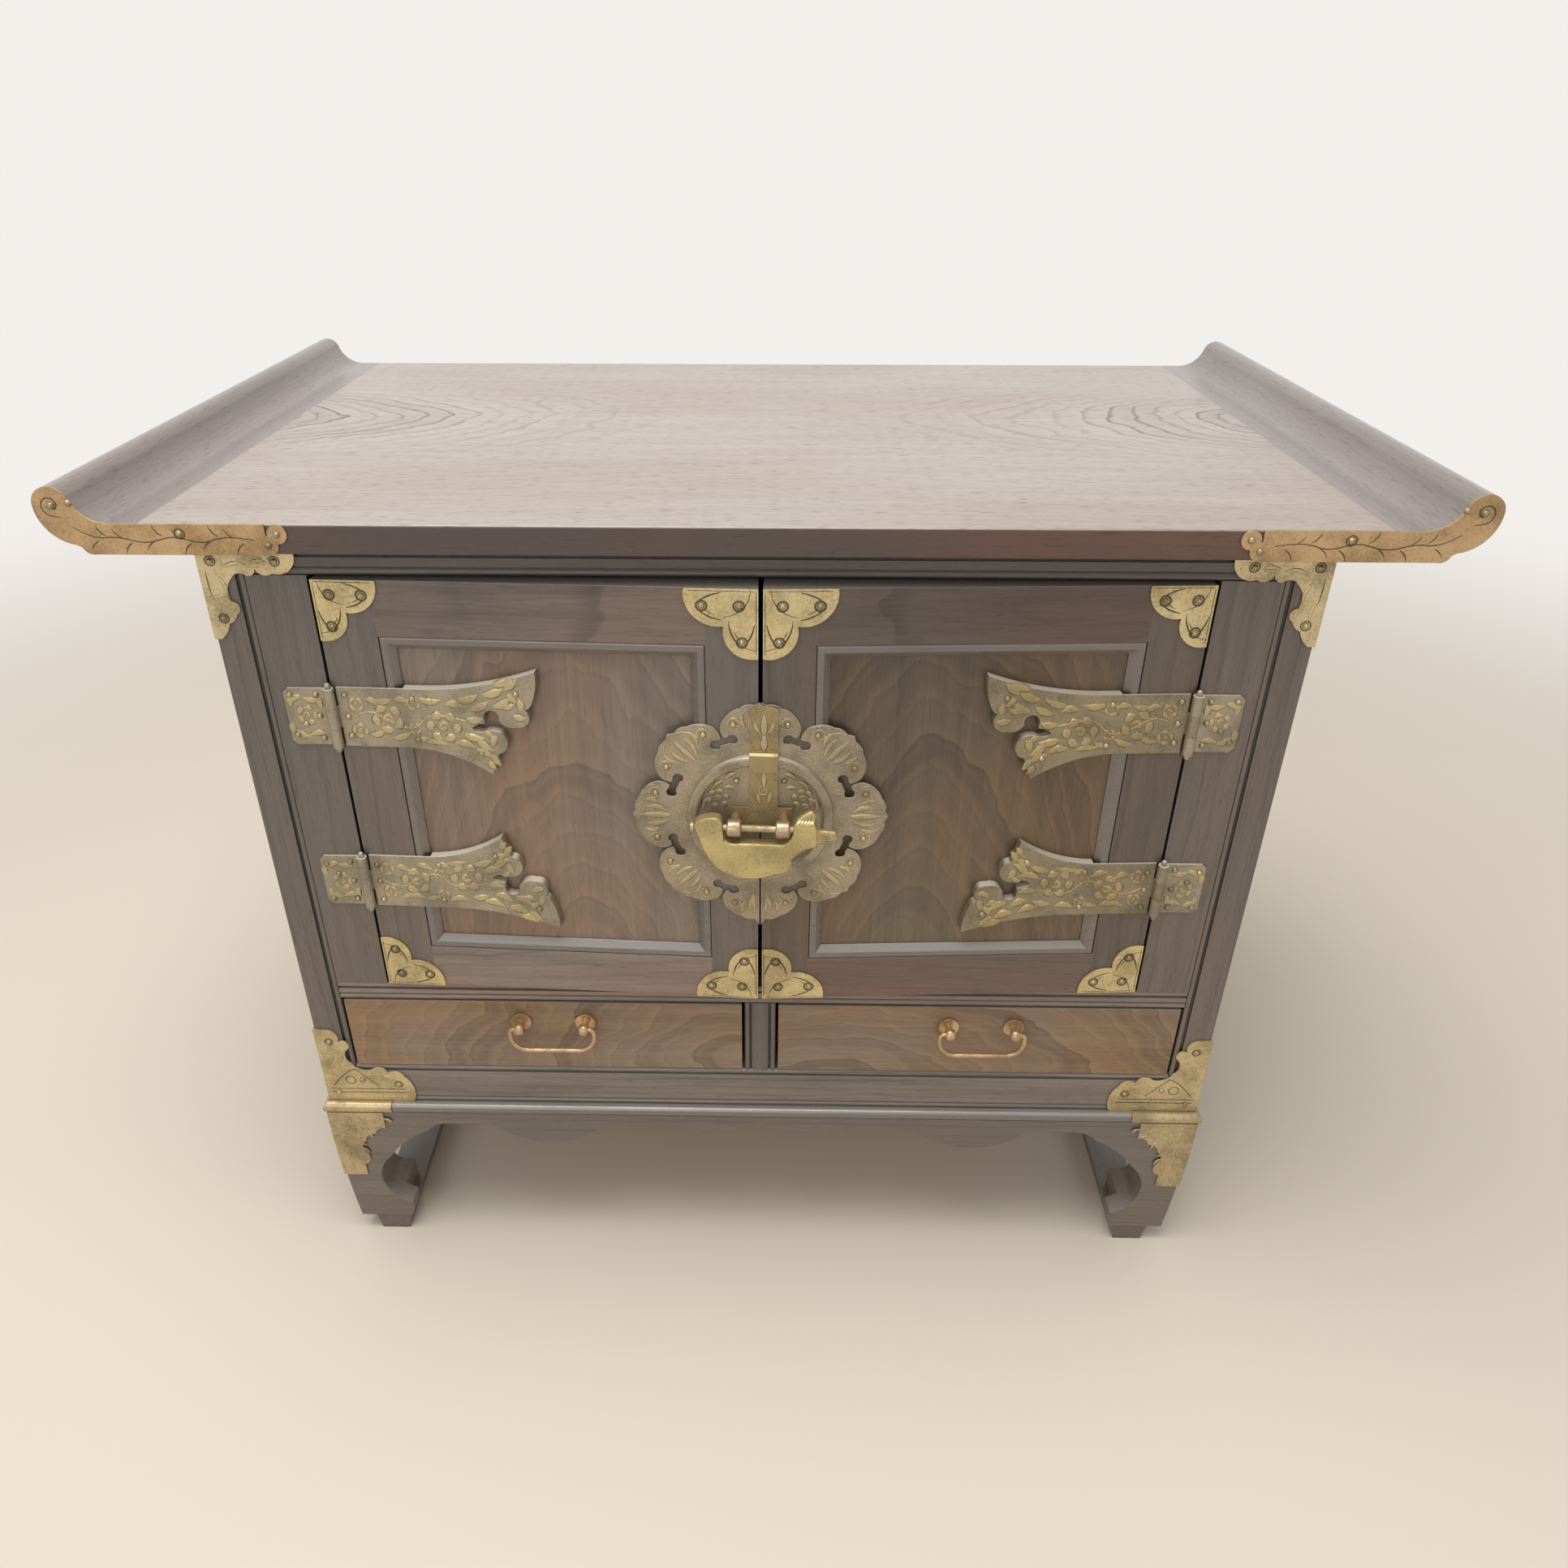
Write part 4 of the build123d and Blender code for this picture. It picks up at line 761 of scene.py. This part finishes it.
def leaf_sprig():
    """Relief on the short fixed leaf, measured outward from the pin."""
    return rose(17.0, 1.0, 7.5, 5, 0) + leaves(
        ((8, 12, 11, -15, 60), (19, 14, 10, -10, -50), (8, -12, 11, 15, -60), (18, -14, 10, 10, 50),
         (26, 7, 9, 80, 50), (27, -4, 9, -70, -50), (7, 6, 8, 70, 60)), 2.6)


print("vines:", len(strap_vine()), "strokes on a strap and", len(leaf_sprig()), "on a leaf")

# %% Raise the vines on the hinges
hinge_drop, hinge_rise = 92.5, 91.0
hinge_levels = ((door_top - hinge_drop, 1), (door_foot + hinge_rise, -1))
vine_gold = {"left": hinge_gold, "right": shaded_right_hinge_gold}
for hand, side in sides.items():
    straps, sprigs = [], []
    for level, up in hinge_levels:
        straps += laid(strap_vine(), side * hinge_pin, level, -side, up)
        sprigs += laid(leaf_sprig(), side * hinge_pin, level, side, up)
    relief(f"{hand}_strap_vines", straps, door_face(side, strap_level), f"{hand}_door", vine_gold[hand],
           vine_flat)
    relief(f"{hand}_leaf_sprigs", sprigs, front_face(strap_level), "case", hinge_gold,
           vine_flat)
print("hinges at", [round(level, 1) for level, up in hinge_levels], "mm")

# %% [markdown]
# ## The round lock plate
# Eight lobes stand round the ring.  Each holds a bud between two curls, inside a raised rim.  The top
# and bottom lobes are cut in two by the meeting of the doors, so each half has half of the drawing.


# %% Draw the scrolls of the lock
def lobe(half=0):
    """Relief on a lobe, with x outward from the plate's middle; half keeps one side of it."""
    bud = [bent(58, 0, 20, 0, 0, 2.4)]
    for way in (1, -1):
        bud.append(bent(60, way * 3.6, 15, way * 30, way * -52, 1.9))
        bud.append(bent(65, way * 9.5, 11, way * 35, way * -70, 1.8))
        bud.append(spiral(67.5, way * 16.0, 5.0, way * 120, way * -1.2, 1.0))
        bud.append(arc(67.5, 0.0, 12.8, way * 8, way * 62, 0.75))
        bud.append(arc(67.5, way * 15.5, 7.0, way * 20, way * 150, 0.6))
    if half:
        bud = [stroke for stroke in bud if all(p[1] * half > 1.6 for p in stroke)]
        bud.append(bent(59, half * 4.2, 17, 0, half * -9, 1.7))
    return bud


def disc_flower():
    """Relief inside the ring, on the right half."""
    stems = leaves(((15, 33, 10, -15, -50), (24, 27, 10, -25, -60), (34, 14, 10, -60, -40),
                    (34, 2, 10, -90, -30), (16, 22, 9, 20, -70), (25, -4, 9, 20, -60), (14, -20, 12, -60, 70),
                    (22, -26, 12, 10, 60), (32, -12, 10, -100, -30)), 2.0)
    return rose(27.0, 14.0, 8.0, 6, 15) + stems + [spiral(30.0, -18.0, 4.5, 90, 1.2, 1.1)]


def ring_beads():
    """A row of small punched beads round the right half of the ring."""
    beads, reach, first, pitch = [], 52.0, -86.3, 7.5
    for i in range(24):
        angle = radians(first + pitch * i)
        x, y = reach * cos(angle), reach * sin(angle)
        beads.append([(x - 0.4, y, 0.7), (x, y + 0.2, 0.9), (x + 0.4, y, 0.7)])
    return beads


def strip_vine():
    """Relief on the strip that laps over the doors, above and inside the ring."""
    vine = [bent(2.5, 50, 12, 80, 40, 2.2), bent(2.5, 50, 12, 100, -40, 2.2), bent(2.5, 61, 15, 90, 0, 2.6)]
    vine += [bent(5.5, 63, 9, 50, 60, 1.7), bent(-0.5, 63, 9, 130, -60, 1.7)]
    vine += [spiral(2.5, 21.0, 4.2, 90, 1.3, 1.0), bent(2.5, 24, 12, 90, 0, 2.0)]
    return vine + [bent(5.0, 12, 9, 70, 30, 1.7), bent(0.0, 12, 9, 110, -30, 1.7)]


print("a lobe has", len(lobe()), "strokes, and a half lobe", len(lobe(half=1)))

# %% Raise the scrolls on the lock plate
lock_drop = 3.0
lock_level = (door_top + door_foot) / 2 - lock_drop
for hand, side in sides.items():
    scrolls = []
    for angle in (-45, 0, 45):
        scrolls += turned(lobe(), angle)
    scrolls += turned(lobe(half=-1), 90) + turned(lobe(half=1), -90) + disc_flower() + ring_beads()
    relief(f"{hand}_lock_scrolls", laid(scrolls, 0.0, lock_level, side), door_face(side, plate_level),
           f"{hand}_door", lock_gold, scroll_flat)
relief("strip_vine", laid(strip_vine(), 0.0, lock_level), door_face(-1, strip_level), "left_door",
       lock_gold, scroll_flat)
print("lock plate:", len(scrolls), "strokes on a half")

# %% [markdown]
# ## The fish
# The padlock is cast, so it has no sharp edge anywhere.  A copy of the measured solid is rebuilt from
# small even faces, and smoothing them rounds every edge by a few millimetres and keeps the outline.
# The eye, gill, scales and fin rays are cut afterwards with the same strokes as the plates.


# %% Round the cast padlock
def cast(node, name, material, body, grain_size, passes):
    """A smoothed copy of a node, as if it had been cast."""
    solid = bmesh.new()
    solid.from_mesh(nodes[node].data)
    bmesh.ops.remove_doubles(solid, verts=solid.verts, dist=0.01 * mm)
    mesh = bpy.data.meshes.new(name)
    solid.to_mesh(mesh)
    solid.free()
    rough = bpy.data.objects.new(name, mesh)
    bpy.context.scene.collection.objects.link(rough)
    remesh = rough.modifiers.new("even_faces", "REMESH")
    remesh.mode = "VOXEL"
    remesh.voxel_size = grain_size
    smooth = rough.modifiers.new("rounding", "SMOOTH")
    smooth.iterations = passes
    smooth.factor = 0.5
    made = bpy.data.meshes.new_from_object(rough.evaluated_get(bpy.context.evaluated_depsgraph_get()))
    bpy.data.objects.remove(rough)
    piece = placed(name, made, body, material)
    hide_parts(node)
    return piece


fish = cast("padlock_body", "cast_fish", fish_brass, "padlock", grain_size=0.7 * mm,
            passes=16)
print("fish:", len(fish.data.polygons), "faces")

# %% Cut the fish's eye, gill and scales
bar_level = joints["padlock_swing"]["pos_m"][2] / mm
fish_cheek, cut_depth, mark_flat = 21.25 * mm, 0.2 * mm, 0.5
scale_pitch, row_drop = 7.5, 5.0
marks = [circle(-32.5, 2.0, 2.1, 0.45, 8), arc(-33.0, -3.0, 12.0, -58, 16, 0.4),
         arc(-40.0, -3.0, 4.0, -50, 20, 0.35)]
for column in range(5):
    for row in range(3):
        scale_x = -16.0 + scale_pitch * column + scale_pitch / 2 * (row % 2)
        marks.append(arc(scale_x, -14.5 - row_drop * row, 4.0, -70, 70, 0.22, 5))
for i in range(4):
    marks.append(bent(38.5, -1.2 - 1.9 * i, 8.0, -4, -8 + 4 * i, 0.25))
    marks.append(bent(25.0 + 2.2 * i, 5.0 + 0.6 * i, 6.0, 62, 10, 0.25))
relief("fish_marks", laid(marks, 0.0, bar_level), door_face(-1, fish_cheek - cut_depth), "padlock",
       plate_line, mark_flat)
print("fish marks:", len(marks))

# %% [markdown]
# ## Case mounts and stand shoes
# The mounts wrap the corners of the case, so each drawing is laid once on the front wing and once on
# the side wing.  The lower mount has a triangle and two lines that follow its foot, with a bud and
# curls above.  The shoes of the stand are covered with small punched leaves.


# %% Draw the mounts and shoes
def lower_mount():
    """Dark lines and raised leaves, measured in from the corner and up from the foot."""
    cuts = [[(3, 9.5, 0.4), (30, 9.5, 0.5), (61, 9.5, 0.4)],
            [(3, 13.0, 0.35), (30, 13.0, 0.4), (60, 13.0, 0.35)],
            [(5, 16, 0.35), (17, 32, 0.45), (24, 33, 0.35)],
            [(24, 33, 0.35), (32, 24, 0.4), (40, 16, 0.35)]]
    cuts += [circle(19.0, 22.0, 4.0, 0.4, 8), circle(9.0, 60.0, 3.2, 0.4, 8), circle(55.0, 18.0, 3.2, 0.4, 8)]
    curls = [bent(5, 36, 14, 75, -30, 1.5), bent(13, 38, 13, 60, 40, 1.4), bent(6, 50, 10, 60, 50, 1.2),
             bent(30, 27, 12, -10, 40, 1.4), bent(42, 26, 13, -5, -40, 1.5), bent(44, 19, 10, 10, 40, 1.1),
             bent(6, 4.8, 24, 0, 0, 0.9), bent(34, 4.8, 24, 0, 0, 0.9), spiral(15.5, 48.0, 3.6, 60, 1.1, 0.8)]
    return {"cuts": cuts, "leaves": curls}


def upper_mount():
    """The same, measured in from the corner and down from the top."""
    cuts = [circle(7.0, 8.0, 3.2, 0.4, 8), circle(7.5, 44.0, 3.2, 0.4, 8), circle(45.0, 8.0, 3.2, 0.4, 8)]
    cuts += [bent(14, 3, 18, -5, 20, 0.4), bent(3, 14, 18, 92, -12, 0.4)]
    curls = [bent(14, 12, 14, -30, 55, 1.4), bent(30, 9, 11, -20, 50, 1.3), bent(10, 18, 14, 60, 50, 1.3),
             bent(5, 30, 12, 70, 40, 1.2), spiral(36.0, 7.5, 3.0, 180, -1.1, 0.7),
             bent(4, 50, 6, 85, -20, 0.9)]
    return {"cuts": cuts, "leaves": curls}


def shoe_leaves():
    """Punched leaves on a shoe, measured in from the corner and down from the lip."""
    return flower(14.0, 14.0, 8.0, 6, 1.6, 20) + leaves(
        ((26, 6, 12, 20, 50), (30, 14, 11, -10, 60), (40, 6, 8, 10, 60), (6, 26, 12, 70, 50),
         (14, 28, 12, 60, -60), (7, 40, 12, 80, 40), (14, 44, 10, 60, 50), (8, 55, 8, 90, 20),
         (24, 20, 9, 30, 80), (18, 38, 9, 20, 80)), 1.5)


print("strokes on a shoe:", len(shoe_leaves()))

# %% Work the corner mounts and shoes
half_case, front_mm = case_half / mm, front / mm
top_z, low_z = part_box("top_rail")[1][2] / mm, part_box("bottom_rail")[0][2] / mm
stand_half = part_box("stand_front_legs")[1][0] / mm
shoe_inset, shoe_drop = 2.0, 8.0
shoe_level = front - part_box("stand_front_legs")[0][1] + plate_level
for hand, side in sides.items():
    for kind, material, flat in (("cuts", plate_line, cut_flat), ("leaves", mount_brass, leaf_flat)):
        on_front, on_flank = [], []
        for drawing, level, up in ((lower_mount()[kind], low_z, 1), (upper_mount()[kind], top_z, -1)):
            on_front += laid(drawing, side * half_case, level, -side, up)
            on_flank += laid(drawing, side * front_mm, level, side, up)
        relief(f"{hand}_mount_front_{kind}", on_front, front_face(plate_level), "case", material,
               flat)
        relief(f"{hand}_mount_side_{kind}", on_flank, side_face(side, plate_level), "case", material,
               flat)
    shoe = laid(shoe_leaves(), side * (stand_half - shoe_inset), low_z - shoe_drop, -side, -1)
    relief(f"{hand}_shoe_leaves", shoe, front_face(shoe_level), "case", shoe_brass,
           leaf_flat)
print("mounts between", round(low_z, 1), "and", round(top_z, 1), "mm are worked, and so are the shoes")

# %% [markdown]
# ## Ends of the top
# The thin plates on the ends of the top are redder than the rest.  A long vine is cut along each, and
# a spiral follows the roll.


# %% Cut the top ends
def top_end_vine():
    """Cuts on a top end, measured outward from the seam and up from the underside."""
    vine = [[(-66, 9, 0.3), (-50, 12, 0.4), (-36, 6, 0.4), (-20, 12, 0.4), (-4, 6, 0.4), (12, 11, 0.4),
             (26, 9, 0.4), (36, 16, 0.3)], spiral(45.0, 28.4, 7.6, -120, 1.3, 0.45)]
    for i, x in enumerate((-60, -46, -30, -14, 4, 18)):
        up = 1 if i % 2 else -1
        vine.append(bent(x, 9 + 2 * up, 9, 30 * up, 60 * up, 0.45))
        vine.append(bent(x + 5, 9 - up, 8, -25 * up, -50 * up, 0.4))
    return vine + [circle(-24.0, 12.5, 3.2, 0.4, 8)]


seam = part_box("top_board")[1][0] / mm
top_end_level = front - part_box("top_board")[0][1] + plate_level
for hand, side in sides.items():
    relief(f"{hand}_top_end_cuts", laid(top_end_vine(), side * seam, top_z, side), front_face(top_end_level),
           "case", plate_line, cut_flat)
print("seam at", round(seam, 1), "mm")

# %% [markdown]
# ## Floor and light
# The chest stands on a plain pale floor, which fades away into the world.  A broad lamp overhead and a
# weaker one in front give the soft light of a room, and the world adds an even fill.  What the camera
# and the polished top see of the world is nearly white, while the boards are lit by less than that.

# %% Lay the floor
floor_half, fade_start, fade_end, floor_roughness = 6.0, 0.9, 2.4, 0.8
ground = bmesh.new()
bmesh.ops.create_grid(ground, x_segments=1, y_segments=1, size=floor_half)
floor_mesh = bpy.data.meshes.new("floor")
ground.to_mesh(floor_mesh)
ground.free()
floor = bpy.data.objects.new("floor", floor_mesh)
bpy.context.scene.collection.objects.link(floor)
pale = Finish("pale_floor")
floor_x, floor_y = pale.axes()[:2]
away = (floor_x * floor_x + floor_y * floor_y).root()
flat_normal = pale.node("ShaderNodeNewGeometry", output="Normal")
floor_mesh.materials.append(pale.finish(paint("#E6DCCB"), floor_roughness, flat_normal))
pale.feed(pale.surface.inputs["Alpha"], 1.0 - away.step(fade_start, fade_end))
print("the floor fades between", fade_start, "and", fade_end, "m from the chest")

# %% Fill the room
world = bpy.data.worlds.new("room")
bpy.context.scene.world = world
world.use_nodes = True
sky = NodeTree(world.node_tree)
background = sky.tree.nodes["Background"]
fill_strength, seen_strength = 0.55, 1.0
seen = sky.node("ShaderNodeLightPath", output="Is Camera Ray").most(
    sky.node("ShaderNodeLightPath", output="Is Glossy Ray"))
strength = sky.node("ShaderNodeMapRange", None,
                    {"Value": seen, "To Min": fill_strength, "To Max": seen_strength})
sky.feed(background.inputs["Color"], paint("#F3EFEC"))
sky.feed(background.inputs["Strength"], strength)
print("the world fills at", fill_strength, "and is seen at", seen_strength)


# %% Hang the lamps
def soft_lamp(name, place, target, width, height, watts):
    """A rectangular lamp that faces a point."""
    light = bpy.data.lights.new(name, "AREA")
    light.shape = "RECTANGLE"
    light.size, light.size_y = width, height
    light.energy = watts
    lamp = bpy.data.objects.new(name, light)
    turn = (Vector(target) - Vector(place)).to_track_quat("-Z", "Y").to_matrix().to_4x4()
    lamp.matrix_world = Matrix.Translation(place) @ turn
    bpy.context.scene.collection.objects.link(lamp)


soft_lamp("ceiling_lamp", (-0.3, -0.35, 2.3), target=(0, 0, 0.4), width=1.6, height=1.2, watts=34)
soft_lamp("front_lamp", (-0.6, -2.2, 1.2), target=(0, 0, 0.3), width=1.4, height=1.0, watts=7)
bpy.context.scene.view_settings.view_transform = "Standard"
